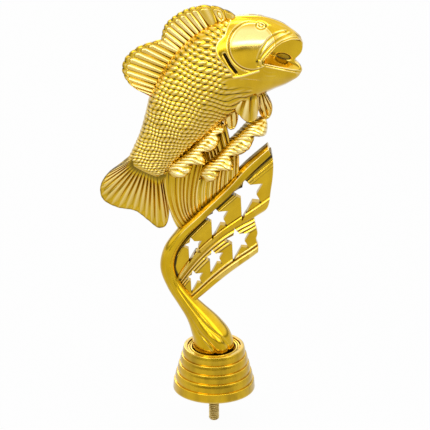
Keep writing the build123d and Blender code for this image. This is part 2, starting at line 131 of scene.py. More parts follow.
def at_knots(table: Array, knots: Array, where: Array) -> Array:
    """Read a table between its rows: a cubic through the rows with the rows' mean slopes.

    Args:
        table: one row for each knot.
        knots: rising parameter values of the rows.
        where: parameter values to read at.

    Returns:
        One row for each value.
    """
    table = np.asarray(table, float)
    slopes = np.gradient(table, knots, axis=0)
    cell = np.clip(np.searchsorted(knots, where, side="right") - 1, 0, len(knots) - 2)
    step = (knots[cell + 1] - knots[cell])[:, None]
    part = ((where - knots[cell]) / (knots[cell + 1] - knots[cell]))[:, None]
    start, end = table[cell], table[cell + 1]
    leave, arrive = slopes[cell] * step, slopes[cell + 1] * step
    cube, square = part**3, part**2
    return (
        (2 * cube - 3 * square + 1) * start
        + (cube - 2 * square + part) * leave
        + (3 * square - 2 * cube) * end
        + (cube - square) * arrive
    )


def lengths(points: Array) -> Array:
    """The length of a path of straight runs up to each of its points."""
    return np.r_[0.0, np.cumsum(np.linalg.norm(np.diff(points, axis=0), axis=1))]


def curve(points: Array, count: int) -> Array:
    """A smooth curve through points, read at even lengths.

    Args:
        points: the curve's points, one row each.
        count: how many points to return.

    Returns:
        One row for each point on the curve.
    """
    points = np.asarray(points, float)
    knots = lengths(points)
    fine = at_knots(points, knots, np.linspace(0, knots[-1], 40 * len(points)))
    length = lengths(fine)
    wanted = np.linspace(0, 1, count) * length[-1]
    return np.stack([np.interp(wanted, length, fine[:, k]) for k in range(fine.shape[1])], axis=-1)


def smooth(value: Array, low: float, high: float) -> Array:
    """Rise from 0 at low to 1 at high along 3t squared less 2t cubed."""
    part = np.clip((value - low) / (high - low), 0, 1)
    return part * part * (3 - 2 * part)


def bell(value: Array, width: float) -> Array:
    """Fall off as exp of minus the square of value over width."""
    return np.exp(-((value / width) ** 2))


def rounded(part: Array, power: int = 2) -> Array:
    """Run out along an arc: the root of 1 less a power of part, 1 up to 0 and 0 from 1 on."""
    return np.sqrt(np.clip(1 - np.clip(part, 0, 1) ** power, 0, 1))


def ridge(part: Array, middle: float, half: float) -> Array:
    """A half-round ridge of height 1 and a half width."""
    return rounded(np.abs(part - middle) / half)


def crowns(part: Array, rows: Sequence[tuple[float, float, float]]) -> Array:
    """Add up soft ridges: each is half of 1 plus the cosine of the offset over its half width.

    Args:
        part: where to read.
        rows: height, middle and half width of each ridge.

    Returns:
        The height at each place.
    """
    total = 0.0
    for height, middle, half in rows:
        offset = np.clip((part - middle) / half, -1, 1)
        total = total + height * (0.5 + 0.5 * np.cos(math.pi * offset))
    return total


def around_axis(radius: Array, angle: Array, height: Array) -> Array:
    """Points round the stud's axis: x is radius times cosine, y is radius times sine."""
    rows = np.broadcast_arrays(radius * np.cos(angle), radius * np.sin(angle), height)
    return np.stack(rows, axis=-1)


def reach(points: Array, path: Array) -> Array:
    """The distance from each point to a path of straight runs.

    Args:
        points: places in the last axis.
        path: the path's corners, one row each.

    Returns:
        The least distance for each point.
    """
    best = np.full(points.shape[:-1], np.inf)
    for start, end in zip(path[:-1], path[1:]):
        run = end - start
        part = np.clip(((points - start) @ run) / (run @ run), 0, 1)
        gap = points - start - part[..., None] * run
        best = np.minimum(best, np.hypot(gap[..., 0], gap[..., 1]))
    return best


def within(points: Array, ring: Array) -> Array:
    """Tell which points lie inside a closed ring: a level ray crosses an odd count of its runs.

    Args:
        points: places in the last axis.
        ring: the ring's corners, one row each.

    Returns:
        True for each point inside.
    """
    inside = np.zeros(points.shape[:-1], bool)
    across, up = points[..., 0], points[..., 1]
    for start, end in zip(ring, np.roll(ring, -1, axis=0)):
        if start[1] == end[1]:
            continue
        between = (start[1] > up) != (end[1] > up)
        crossing = start[0] + (up - start[1]) * (end[0] - start[0]) / (end[1] - start[1])
        inside ^= between & (across < crossing)
    return inside


def inset(points: Array, ring: Array) -> Array:
    """How far inside a closed ring each point lies, and less than zero outside it."""
    gap = reach(points, np.vstack([ring, ring[:1]]))
    return np.where(within(points, ring), gap, -gap)


# Meshes


def grid_faces(rows: int, columns: int, ring: bool = False) -> Array:
    """Join a grid of points into four-sided faces.

    Args:
        rows: how many rows the grid has.
        columns: how many points a row has.
        ring: whether each row closes on itself.

    Returns:
        Four point numbers for each face.
    """
    row = np.arange(rows - 1)[:, None] * columns
    column = np.arange(columns if ring else columns - 1)[None, :]
    after = (column + 1) % columns
    corners = [row + column, row + after, row + columns + after, row + columns + column]
    return np.stack(np.broadcast_arrays(*corners), axis=-1).reshape(-1, 4)


def rim_order(rows: int, columns: int) -> Array:
    """The point numbers once round the edge of a grid."""
    number = np.arange(rows * columns).reshape(rows, columns)
    return np.r_[number[0, :-1], number[:-1, -1], number[-1, :0:-1], number[:0:-1, 0]]


def wall_faces(rim: Array, back: Array) -> Array:
    """Join two closed rims of as many points by four-sided faces."""
    return np.stack([rim, np.roll(rim, -1), np.roll(back, -1), back], axis=-1)


def place_mesh(
    name: str,
    points: Array,
    faces: list[list[int]],
    crease: float = 38.0,
    shade: Optional[Array] = None,
) -> Thing:
    """Make an object from points and faces, doubles merged and every face turned outwards.

    Args:
        name: the piece's name.
        points: x, y and z of each point.
        faces: the point numbers of each face.
        crease: edges that turn by more than this many degrees stay sharp.
        shade: painted shade from 0 to 1 at each point, or painted highlight from 0 to -1, on top of
            its relief.

    Returns:
        The new object, at the origin.
    """
    mesh = bpy.data.meshes.new(name)
    mesh.from_pydata(points.reshape(-1, 3).tolist(), [], faces)
    if shade is not None:
        # painted shade above 0 and painted highlight below 0, read by the gold's colour
        layer = mesh.attributes.new("grime", "FLOAT", "POINT")
        layer.data.foreach_set("value", shade.reshape(-1).astype(np.float32))
    work = bmesh.new()
    work.from_mesh(mesh)
    bmesh.ops.remove_doubles(work, verts=work.verts, dist=0.002 * MM)
    bmesh.ops.dissolve_degenerate(work, edges=work.edges, dist=0.0005 * MM)
    bmesh.ops.recalc_face_normals(work, faces=work.faces)
    work.to_mesh(mesh)
    work.free()
    mesh.shade_smooth()
    mesh.set_sharp_from_angle(angle=math.radians(crease))
    mark_relief(mesh)
    piece = bpy.data.objects.new(name, mesh)
    bpy.context.scene.collection.objects.link(piece)
    return piece


def mark_relief(mesh: bpy.types.Mesh, scale: float = 0.55 * MM, passes: int = 2) -> None:
    """Give each point a value from -1 on a ridge to 1 in a hollow, for painted highlights and
    painted shade.

    The value is the hyperbolic tangent of scale times the curvature: how far a point's neighbours
    lie along its normal, over their mean distance squared. A few passes then average it with its
    neighbours.

    Args:
        mesh: the finished mesh.
        scale: the radius of a bend that counts in full.
        passes: how many times the value is averaged.
    """
    count = len(mesh.vertices)
    place, normal = np.empty(count * 3), np.empty(count * 3)
    mesh.vertices.foreach_get("co", place)
    mesh.vertex_normals.foreach_get("vector", normal)
    place, normal = place.reshape(-1, 3), normal.reshape(-1, 3)
    ends = np.empty(len(mesh.edges) * 2, dtype=np.int64)
    mesh.edges.foreach_get("vertices", ends)
    first, second = ends.reshape(-1, 2).T
    here, there = np.r_[first, second], np.r_[second, first]
    gap = place[there] - place[here]
    degree = np.maximum(np.bincount(here, minlength=count), 1)
    rise = np.bincount(here, np.sum(gap * normal[here], axis=1), count) / degree
    spread = np.bincount(here, np.sum(gap**2, axis=1), count) / degree
    value = np.tanh(scale * 4 * rise / np.maximum(spread, TINY))
    for _ in range(passes):
        value = 0.5 * value + 0.5 * np.bincount(here, value[there], count) / degree
    layer = mesh.attributes.new("relief", "FLOAT", "POINT")
    layer.data.foreach_set("value", value.astype(np.float32))


def tube(name: str, points: Array, crease: float = 38.0, shade: Optional[Array] = None) -> Thing:
    """Close rows of rings into one skin, with a flat cap on the first and the last ring.

    Args:
        name: the piece's name.
        points: rows of rings of x, y and z.
        crease: edges that turn by more than this many degrees stay sharp.
        shade: painted shade or painted highlight at each point.

    Returns:
        The new object.
    """
    rows, columns = points.shape[:2]
    faces = grid_faces(rows, columns, ring=True).tolist()
    faces.append(list(range(columns)))
    faces.append(list(range((rows - 1) * columns, rows * columns)))
    return place_mesh(name, points, faces, crease, shade)


def turned(name: str, profile: Array, shade: Optional[Array] = None) -> Thing:
    """Turn a closed profile round the stud's axis.

    Args:
        name: the piece's name.
        profile: radius and height of each corner of the closed profile.
        shade: painted shade at each corner of the profile.

    Returns:
        The new object.
    """
    turns = 192
    angle = np.linspace(0, 2 * math.pi, turns, endpoint=False)[:, None]
    points = around_axis(profile[None, :, 0], angle, profile[None, :, 1])
    closed = np.concatenate([points, points[:1]], axis=0)
    # painted shade for each point of each turn
    grime = None if shade is None else np.tile(shade, turns + 1)
    faces = grid_faces(turns + 1, len(profile), ring=True).tolist()
    return place_mesh(name, closed, faces, shade=grime)


def leaf(name: str, places: Array, near: Array, far: Array, crease: float, shade: Array) -> Thing:
    """Close a grid of places into a plate: a near face, a far face, and a wall round.

    Args:
        name: the piece's name.
        places: rows of x and z.
        near: y of the near face at each place.
        far: y of the far face at each place.
        crease: edges that turn by more than this many degrees stay sharp.
        shade: painted shade or painted highlight at each place.

    Returns:
        The new object.
    """
    x, z = places[..., 0], places[..., 1]
    sides = [np.stack([x, depth, z], axis=-1).reshape(-1, 3) for depth in (near, far)]
    front = grid_faces(*x.shape)
    rim = rim_order(*x.shape)
    faces = np.vstack([front, front[:, ::-1] + x.size, wall_faces(rim, rim + x.size)]).tolist()
    return place_mesh(name, np.vstack(sides), faces, crease, np.tile(shade.reshape(-1), 2))


def pierced_plate(
    name: str,
    ring: Array,
    holes: list[Array],
    inner: Array,
    relief: Callable[[Array], Array],
    shade_at: Callable[[Array], Array],
) -> Thing:
    """Fill a ring less its holes with triangles, and lift them to a near face and its mirror.

    Args:
        name: the piece's name.
        ring: x and z of the plate's outline.
        holes: x and z of each opening's outline.
        inner: x and z of further points that carry the relief.
        relief: gives the half thickness at places.
        shade_at: gives the painted shade at places.

    Returns:
        The new object.
    """
    clear = inset(inner, ring)
    for hole in holes:
        clear = np.minimum(clear, -inset(inner, hole))
    places, edges, start = [ring, *holes], [], 0
    for outline in places:
        number = np.arange(len(outline)) + start
        edges += np.stack([number, np.roll(number, -1)], axis=-1).tolist()
        start += len(outline)
    places.append(inner[clear > 0.12 * MM])
    scale = 1 / MM  # the triangles are found in millimetres
    corners = [Vector(place) for place in (np.vstack(places) * scale).tolist()]
    flat, _, triangles, *_ = delaunay_2d_cdt(corners, edges, [], 0, 1e-4)
    spread = np.array([list(place) for place in flat]) / scale
    cells = np.array(triangles)
    middle = spread[cells].mean(axis=1)
    kept = within(middle, ring)
    for hole in holes:
        kept &= ~within(middle, hole)
    cells = cells[kept]
    half = relief(spread)
    near = np.stack([spread[:, 0], -half, spread[:, 1]], axis=-1)
    sides = np.sort(np.vstack([cells[:, [0, 1]], cells[:, [1, 2]], cells[:, [2, 0]]]), axis=1)
    rims, uses = np.unique(sides, axis=0, return_counts=True)
    first, second = rims[uses == 1].T
    wall = np.stack([first, second, second + len(spread), first + len(spread)], axis=-1)
    faces = cells.tolist() + (cells[:, ::-1] + len(spread)).tolist() + wall.tolist()
    points = np.vstack([near, near * (1, -1, 1)])
    return place_mesh(name, points, faces, crease=45, shade=np.tile(shade_at(spread), 2))


def hand_over(piece: Thing, slot: Slot, material: Finish, *nodes: str) -> None:
    """Dress a finished piece, let it ride on the part, and let it stand for CAD nodes.

    Args:
        piece: the finished object.
        slot: the record's slot; not used.
        material: what it is made of.
        nodes: the CAD nodes that it replaces.
    """
    piece.data.materials.clear()
    piece.data.materials.append(material)
    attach(piece, "root")
    if nodes:
        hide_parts(*nodes)
    log.info("%s: %d faces", piece.name, len(piece.data.polygons))


# Materials


class Wire:
    """A socket whose sums, products and powers add Math nodes."""

    def __init__(self, tree: Tree, socket: bpy.types.NodeSocket) -> None:
        """Keep the socket and the tree that it is in."""
        self.tree = tree
        self.socket = socket

    def join(self, operation: str, first: object, second: object = 0.0) -> "Wire":
        """Add a Math node for an operation on two values.

        Args:
            operation: the Math node's operation.
            first: a wire or a number.
            second: a wire or a number.

        Returns:
            The node's result.
        """
        values = {0: first, 1: second}
        return add_node(self.tree, "ShaderNodeMath", {"operation": operation}, values)

    def __add__(self, other: object) -> "Wire":
        """Sum."""
        return self.join("ADD", self, other)

    def __mul__(self, other: object) -> "Wire":
        """Product."""
        return self.join("MULTIPLY", self, other)

    def __sub__(self, other: object) -> "Wire":
        """Difference."""
        return self.join("SUBTRACT", self, other)

    def __rsub__(self, other: object) -> "Wire":
        """Difference from a number."""
        return self.join("SUBTRACT", other, self)

    __radd__ = __add__
    __rmul__ = __mul__


def add_node(
    tree: Tree, kind: str, settings: dict, values: dict, output: object = 0
) -> Optional[Wire]:
    """Add a node, set its options first, then fill its sockets.

    Args:
        tree: the material's or the world's nodes.
        kind: the node's type.
        settings: option names and values; stops is a list of position and colour for a ramp.
        values: socket names or numbers, with wires or plain values.
        output: which output to return.

    Returns:
        A wire on that output, or nothing from a node that has none.
    """
    node = tree.nodes.new(kind)
    for option, value in settings.items():
        if option == "stops":
            while len(node.color_ramp.elements) < len(value):
                node.color_ramp.elements.new(0.5)
            for element, (position, colour) in zip(node.color_ramp.elements, value):
                element.position = position
                element.color = colour
        else:
            setattr(node, option, value)
    for socket, value in values.items():
        if isinstance(value, Wire):
            tree.links.new(value.socket, node.inputs[socket])
        else:
            node.inputs[socket].default_value = value
    return Wire(tree, node.outputs[output]) if node.outputs else None


def fill_tree(tree: Tree, make: Callable[[Tree], Wire], end: str) -> None:
    """Clear the nodes, and feed what make returns to the surface of an output node of type end."""
    tree.nodes.clear()
    add_node(tree, end, {}, {"Surface": make(tree)})


def finish_material(name: str, make: Callable[[Tree], Wire]) -> Finish:
    """Make a material from nodes.

    Args:
        name: the material's name.
        make: adds nodes to a tree and returns the surface's shader.

    Returns:
        The new material.
    """
    material = bpy.data.materials.new(name)
    material.use_nodes = True
    fill_tree(material.node_tree, make, "ShaderNodeOutputMaterial")
    return material


def blended(tree: Tree, share: Wire, first: object, second: object) -> Wire:
    """Mix two colours by a share from 0 to 1."""
    values = {0: share, 6: first, 7: second}
    return add_node(tree, "ShaderNodeMix", {"data_type": "RGBA"}, values, 2)


def rescaled(tree: Tree, value: Wire, low: float, high: float) -> Wire:
    """Stretch low to high over 0 to 1 and clamp it."""
    values = {"Value": value, "From Min": low, "From Max": high}
    return add_node(tree, "ShaderNodeMapRange", {}, values)


def grey(level: float) -> Colour:
    """A grey of a level."""
    return level, level, level, 1


def noise(tree: Tree, place: Wire, scale: float, detail: float) -> Wire:
    """Read a noise at a place."""
    values = {"Vector": place, "Scale": scale, "Detail": detail}
    return add_node(tree, "ShaderNodeTexNoise", {}, values)


def attribute(tree: Tree, name: str) -> Wire:
    """Read what the mesh holds at each point under a name."""
    return add_node(tree, "ShaderNodeAttribute", {"attribute_name": name}, {}, "Fac")


@dataclass(frozen=True)
class PlatedGold:
    """Vacuum-plated gold over plastic: a bright mirror, hazy in patches, painted shade in hollows,
    painted highlight on ridges.
    """

    name: str = "plated_gold"
    deep: Colour = (0.61, 0.365, 0.001, 1)
    pale: Colour = (0.70, 0.45, 0.010, 1)
    # painted shade: the colour mixed in at hollows and where the painted light is above 0
    hollow: Colour = (0.040, 0.024, 0.0005, 1)
    # painted highlight: the colour mixed in on ridges and where the painted light is below 0
    ridge: Colour = (0.94, 0.73, 0.26, 1)
    stain: Colour = (0.36, 0.22, 0.002, 1)
    stained: float = 0.25  # how strongly upright stains show
    roughness: float = 0.12
    haze: float = 0.10  # what hazy patches add to the roughness
    dullness: float = 0.15  # what hollows add to the roughness
    coat: float = 0.34
    polish: float = 0.75  # what the ridges and the painted highlights add to the coat
    patch_scale: float = 90.0
    patch_range: Range = (0.3, 0.7)
    stain_scale: float = 150.0
    stain_range: Range = (0.42, 0.68)
    stain_stretch: float = 0.35
    ripple_scale: float = 260.0
    ripple_depth: float = 0.04 * MM
    hollow_range: Range = (0.28, 1.0)
    ridge_range: Range = (0.12, 0.78)

    def shader(self, tree: Tree) -> Wire:
        """Mix the golds by a slow noise, then by the relief: painted shade in hollows, painted
        highlight on ridges.

        Args:
            tree: the nodes to add to.

        Returns:
            The shader.
        """
        place = add_node(tree, "ShaderNodeTexCoord", {}, {}, "Object")
        patches = noise(tree, place, self.patch_scale, 3.0)
        ripples = noise(tree, place, self.ripple_scale, 2.0)
        relief, grime = attribute(tree, "relief"), attribute(tree, "grime")
        stretch = {"Vector": place, "Scale": (1, 1, self.stain_stretch)}
        upright = add_node(tree, "ShaderNodeMapping", {}, stretch)
        stains = noise(tree, upright, self.stain_scale, 4.0)
        spread = rescaled(tree, patches, *self.patch_range)
        # painted shade in hollows and where the painted light is above 0
        hollows = rescaled(tree, relief * 0.8 + grime * 1.3, *self.hollow_range)
        # painted highlight on ridges and where the painted light is below 0
        ridges = rescaled(tree, relief * -1.0 - grime * 0.9, *self.ridge_range)
        colour = blended(tree, spread, self.deep, self.pale)
        dark = rescaled(tree, stains, *self.stain_range) * self.stained
        colour = blended(tree, dark, colour, self.stain)
        colour = blended(tree, ridges, colour, self.ridge)
        colour = blended(tree, hollows, colour, self.hollow)
        waves = {"Height": ripples, "Distance": self.ripple_depth, "Strength": 0.5}
        values = {
            "Base Color": colour,
            "Metallic": 1.0,
            "Roughness": spread * self.haze + hollows * self.dullness + self.roughness,
            "Coat Weight": ridges * self.polish + self.coat,
            "Coat Roughness": 0.10,
            "Normal": add_node(tree, "ShaderNodeBump", {}, waves),
        }
        return add_node(tree, "ShaderNodeBsdfPrincipled", {}, values)

    def build(self) -> Finish:
        """Make the material."""
        return finish_material(self.name, self.shader)


@dataclass(frozen=True)
class ZincSteel:
    """Yellow-zinc plated steel: dull and grey-gold, with painted shade in the roots of its thread.
    """

    name: str = "zinc_plated_steel"
    dark: Colour = (0.50, 0.37, 0.11, 1)
    light: Colour = (0.72, 0.57, 0.24, 1)
    # painted shade in the thread's roots
    roots: Colour = (0.07, 0.045, 0.01, 1)
    roughness: float = 0.32
    dullness: float = 0.25  # what the dark stains add to the roughness
    stain_scale: float = 420.0
    stain_range: Range = (0.35, 0.65)
    root_range: Range = (0.0, 0.5)

    def shader(self, tree: Tree) -> Wire:
        """Mix two tones by a fine noise, which also roughens, and darken the roots by the relief as
        painted shade.

        Args:
            tree: the nodes to add to.

        Returns:
            The shader.
        """
        place = add_node(tree, "ShaderNodeTexCoord", {}, {}, "Object")
        stains = noise(tree, place, self.stain_scale, 4.0)
        relief = attribute(tree, "relief")
        spread = rescaled(tree, stains, *self.stain_range)
        # painted shade where the relief is hollow
        roots = rescaled(tree, relief, *self.root_range)
        zinc = blended(tree, spread, self.dark, self.light)
        values = {
            "Base Color": blended(tree, roots, zinc, self.roots),
            "Metallic": 1.0,
            "Roughness": (1 - spread) * self.dullness + self.roughness,
        }
        return add_node(tree, "ShaderNodeBsdfPrincipled", {}, values)

    def build(self) -> Finish:
        """Make the material."""
        return finish_material(self.name, self.shader)


# Sub-assemblies


@dataclass
class Base:
    """The stepped cone, its collar ring and the threaded stud."""

    gold: Finish
    steel: Finish
    radius: float = 20.0 * MM
    height: float = 22.2 * MM
    rim_radius: float = 14.8 * MM
    tiers: int = 5
    ledge: float = 0.85 * MM
    bulge: float = 0.30 * MM  # how far a tier's wall bows out
    round_over: float = 0.45 * MM
    wall: float = 1.8 * MM
    recess_radius: float = 13.1 * MM
    recess_depth: float = 1.3 * MM
    well_radius: float = 10.7 * MM
    deck_top: float = 17.0 * MM
    deck_bottom: float = 14.0 * MM
    bore_radius: float = 2.6 * MM
    collar_play: float = 0.15 * MM
    collar_heights: Range = (0.45, 0.42)  # in its grooves, and what a ridge adds, in millimetres
    stud_radius: float = 2.5 * MM
    stud_length: float = 18.0 * MM
    pitch: float = 1.0 * MM
    thread_depth: float = 0.5 * MM
    tip: Range = (0.6 * MM, 0.7 * MM)  # how far the stud's tip narrows, and over what length
    shank_radius: float = 2.2 * MM
    shank_top: float = 26.0 * MM

    def outside(self) -> Array:
        """The tiers' outline from the seat to the rim: bowed walls, each rounded over to a ledge.

        Returns:
            Radius and height, one row each.
        """
        taper = (self.radius - self.rim_radius - (self.tiers - 1) * self.ledge) / self.tiers
        tall = self.height / self.tiers
        part = np.linspace(0, 1, 7)
        turn = np.linspace(0, math.pi / 2, 7)[1:]
        rows = []
        for tier in range(self.tiers):
            foot, low = self.radius - tier * (taper + self.ledge), tier * tall
            bow = self.bulge * np.sin(math.pi * part) * (tier > 0)
            wall = foot - taper * part + bow, low + (tall - self.round_over) * part
            inwards = foot - taper - self.round_over * (1 - np.cos(turn))
            upwards = low + tall - self.round_over + self.round_over * np.sin(turn)
            rows += [np.stack(wall, -1), np.stack([inwards, upwards], -1)]
        return np.vstack(rows)

    def cup(self) -> Thing:
        """Turn the cup: the tiers, the rim's step, the well, the deck's bore and the underside.

        Returns:
            The new object.
        """
        recess = self.height - self.recess_depth
        inside = [
            (self.recess_radius, self.height),
            (self.recess_radius, recess),
            (self.well_radius, recess),
            (self.well_radius, self.deck_top),
            (self.bore_radius, self.deck_top),
            (self.bore_radius, self.deck_bottom),
            (self.rim_radius - self.wall, self.deck_bottom),
            (self.radius - self.wall, 0.0),
        ]
        return turned("stepped_cup", np.vstack([self.outside(), inside]))

    def collar(self) -> Thing:
        """Turn the collar: two rounded ridges, with painted shade in the groove between them and at
        the inner edge.

        Returns:
            The new object.
        """
        inner, outer = self.well_radius - self.collar_play, self.recess_radius - self.collar_play
        floor = self.height - self.recess_depth
        across = np.linspace(inner, outer, 25)
        part = (across - inner) / (outer - inner)
        wave = np.abs(np.sin(2 * math.pi * part))
        low, more = self.collar_heights
        top = floor + (low + more * wave**0.7) * MM
        rings = np.vstack([np.stack([across, top], -1), [(outer, floor), (inner, floor)]])
        # painted shade in the grooves, at the inner edge and at the underside's inner corner
        shade = np.clip(np.clip(0.9 - 1.6 * wave, 0, 1) + 0.3 * (part < 0.1), 0, 1)
        return turned("ringed_collar", rings, shade=np.r_[shade, 0, 0.6])

    def stud(self) -> Thing:
        """Wind the thread: the radius is a ramp wave of height less angle times pitch.

        Returns:
            The new object.
        """
        angle = np.linspace(0, 2 * math.pi, 48, endpoint=False)[None, :]
        height = np.linspace(-self.stud_length, 0, 260)[:, None]
        phase = (height / self.pitch - angle / (2 * math.pi)) % 1.0
        cut = self.thread_depth * np.clip(np.abs(2 * phase - 1) * 1.6 - 0.5, 0, 1)
        narrowing, run = self.tip
        tip = narrowing * (1 - smooth(height, -self.stud_length, -self.stud_length + run))
        thread = around_axis(self.stud_radius - np.maximum(cut, tip), angle, height)
        levels = (0.02 * MM, self.shank_top)
        shank = [around_axis(self.shank_radius, angle, level) for level in levels]
        return tube("threaded_rod", np.vstack([thread, *shank]))

    def build(self) -> None:
        """Make and dress the pieces, and dress the hidden washer and nut."""
        hand_over(self.cup(), Slot.GOLD, self.gold, "base_cup")
        hand_over(self.collar(), Slot.GOLD, self.gold, "collar_ring")
        hand_over(self.stud(), Slot.STEEL, self.steel, "threaded_stud")
        for name in ("clamp_washer", "clamp_nut"):
            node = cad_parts[name]
            node.data.materials.clear()
            node.data.materials.append(self.steel)


@dataclass
class Stem:
    """The twisted fluted stem that runs on as the ribbon's rail."""

    gold: Finish
    foot_radius: float = 9.9 * MM
    rows: int = 300
    around: int = 160
    # Middle, tilt, width and depth as shares of the foot's radius, and the angles of two creases
    table: tuple = (
        (-0.004, -0.052, 90, 1.00, 1.00, 273, 324),
        (-0.004, 0.020, 90, 1.00, 1.00, 271, 321),
        (-0.014, 0.064, 98, 0.93, 0.96, 258, 306),
        (-0.037, 0.106, 109, 0.80, 0.86, 246, 291),
        (-0.089, 0.183, 124, 0.56, 0.64, 236, 280),
        (-0.141, 0.253, 126, 0.44, 0.52, 240, 282),
        (-0.194, 0.335, 117, 0.38, 0.46, 246, 290),
        (-0.226, 0.430, 92, 0.37, 0.44, 248, 296),
        (-0.212, 0.515, 69, 0.35, 0.44, 246, 300),
        (-0.165, 0.594, 55, 0.32, 0.44, 244, 304),
        (-0.052, 0.718, 48, 0.30, 0.44, 242, 308),
        (0.088, 0.866, 47, 0.31, 0.42, 242, 308),
        (0.172, 0.964, 48, 0.34, 0.38, 242, 308),
        (0.256, 1.046, 45, 0.31, 0.32, 242, 308),
    )
    end_run: float = 0.12  # how far from the end the stretching starts, as a share of the span
    end_cut: tuple = ((0.02590, 0.13150), (0.02860, 0.12320))  # x and z of two edge places
    rail_rows: tuple[int, int] = (8, 10)  # the table's rows between which the rail takes its shape
    crease_depth: float = 0.085
    crease_widths: Range = (5, 18)  # of a crease's narrow and broad part, in degrees
    fold: float = 0.42  # how far from the rail's middle its ridge line runs
    facets: Range = (0.33, 0.16)  # how far the rail's depth falls off above and below that line
    rail_swell: float = 0.08
    rail_narrowing: float = 0.12
    rail_drop: float = 0.3 * MM
    # painted shade round the foot, down in the well
    foot_shade: float = 0.6
    rail_shade: Range = (0.30, 0.6)  # painted shade on the rail's leaning band and along its top
    rail_highlight: float = 0.7  # painted highlight on its ridge line

    def creases(self, angle: Array, row: Array) -> Array:
        """How deep the four creases are at an angle: a narrow and a broad bell round each.

        Args:
            angle: degrees round the stem.
            row: the table's values at each ring.

        Returns:
            Rows of rings of depths from 0 to 1.
        """
        first, second = row[:, 5][:, None], row[:, 6][:, None]
        dip = np.zeros((len(row), angle.size))
        for crease in (first, second, 360 - first, 360 - second):
            gap = (angle - crease + 180) % 360 - 180
            narrow, broad = (bell(gap, width) for width in self.crease_widths)
            dip = np.maximum(dip, 0.55 * narrow + 0.45 * broad)
        return dip

    def surface(self) -> tuple[Array, Array]:
        """Rings along the path: an oval with creases that turns into a rounded box along the rail.

        The box is 1 over the fourth root of the sum of fourth powers of cosine and sine. It has an
        upper facet, a ridge line and a leaning band. The far end is cut along the ribbon's free
        edge: each lengthwise line is stretched to meet it.

        Returns:
            Rows of rings of x, y and z, and the painted shade and highlight at each point.
        """
        table = np.asarray(self.table, float)
        knots = np.r_[0.0, np.cumsum(np.hypot(*np.diff(table[:, :2], axis=0).T))]
        where = np.linspace(0, knots[-1], self.rows)
        row = at_knots(table, knots, where)
        middle = spots(row[:, :2])
        tilt = np.radians(row[:, 2])[:, None]
        width, depth = self.foot_radius * row[:, 3][:, None], self.foot_radius * row[:, 4][:, None]
        angle = np.linspace(0, 360, self.around, endpoint=False)[None, :]
        box = smooth(where, *knots[list(self.rail_rows)])[:, None]
        cosine, sine = np.cos(np.radians(angle)), np.sin(np.radians(angle))
        square = (np.abs(cosine) ** 4 + np.abs(sine) ** 4) ** (-1 / 4)
        radius = 1 - self.crease_depth * self.creases(angle, row) * (1 - box)
        radius = radius * (1 + (square - 1) * box)
        place = np.clip(square * cosine, -1, 1)
        above, below = -self.fold - place, place + self.fold
        facet = self.facets[0] * np.clip(above / (1 - self.fold), 0, 1)
        facet = facet + self.facets[1] * np.clip(below / (1 + self.fold), 0, 1)
        facet = facet - 0.05 * bell(below, 0.10)
        across = width * (1 - self.rail_narrowing * box) * radius * cosine - self.rail_drop * box
        out = depth * radius * sine * (1 + (self.rail_swell - facet) * box)
        x = middle[:, :1] + across * np.sin(tilt)
        z = middle[:, 1:] - across * np.cos(tilt)
        heading = middle[-1] - middle[-2]
        heading /= np.linalg.norm(heading)
        (top_x, top_z), (low_x, low_z) = self.end_cut
        lean = (low_x - top_x) / (low_z - top_z)
        wanted = top_x + (z[-1] - top_z) * lean
        stretch = (wanted - x[-1]) / (heading[0] - lean * heading[1])
        near_end = smooth(where, knots[-1] - self.end_run, knots[-1])[:, None] ** 1.5
        share = near_end * stretch[None]
        points = np.stack([x + share * heading[0], out, z + share * heading[1]], axis=-1)
        # painted shade at the foot, down in the well
        foot = self.foot_shade * (1 - smooth(points[..., 2], RIM - 0.4 * MM, RIM + 0.9 * MM))
        band, top = self.rail_shade
        # painted shade on the leaning band and along the top, painted highlight on the ridge line
        rail = band * smooth(place, -0.25, 0.1) - self.rail_highlight * bell(below, 0.10)
        rail = rail + top * smooth(-place, 0.74, 0.92)
        return points, np.clip(foot + rail * box, -1, 1)

    def build(self) -> None:
        """Make and dress the stem."""
        points, shade = self.surface()
        stem = tube("fluted_stem", points, crease=60, shade=shade)
        hand_over(stem, Slot.GOLD, self.gold, "stem_near_half", "stem_far_half")


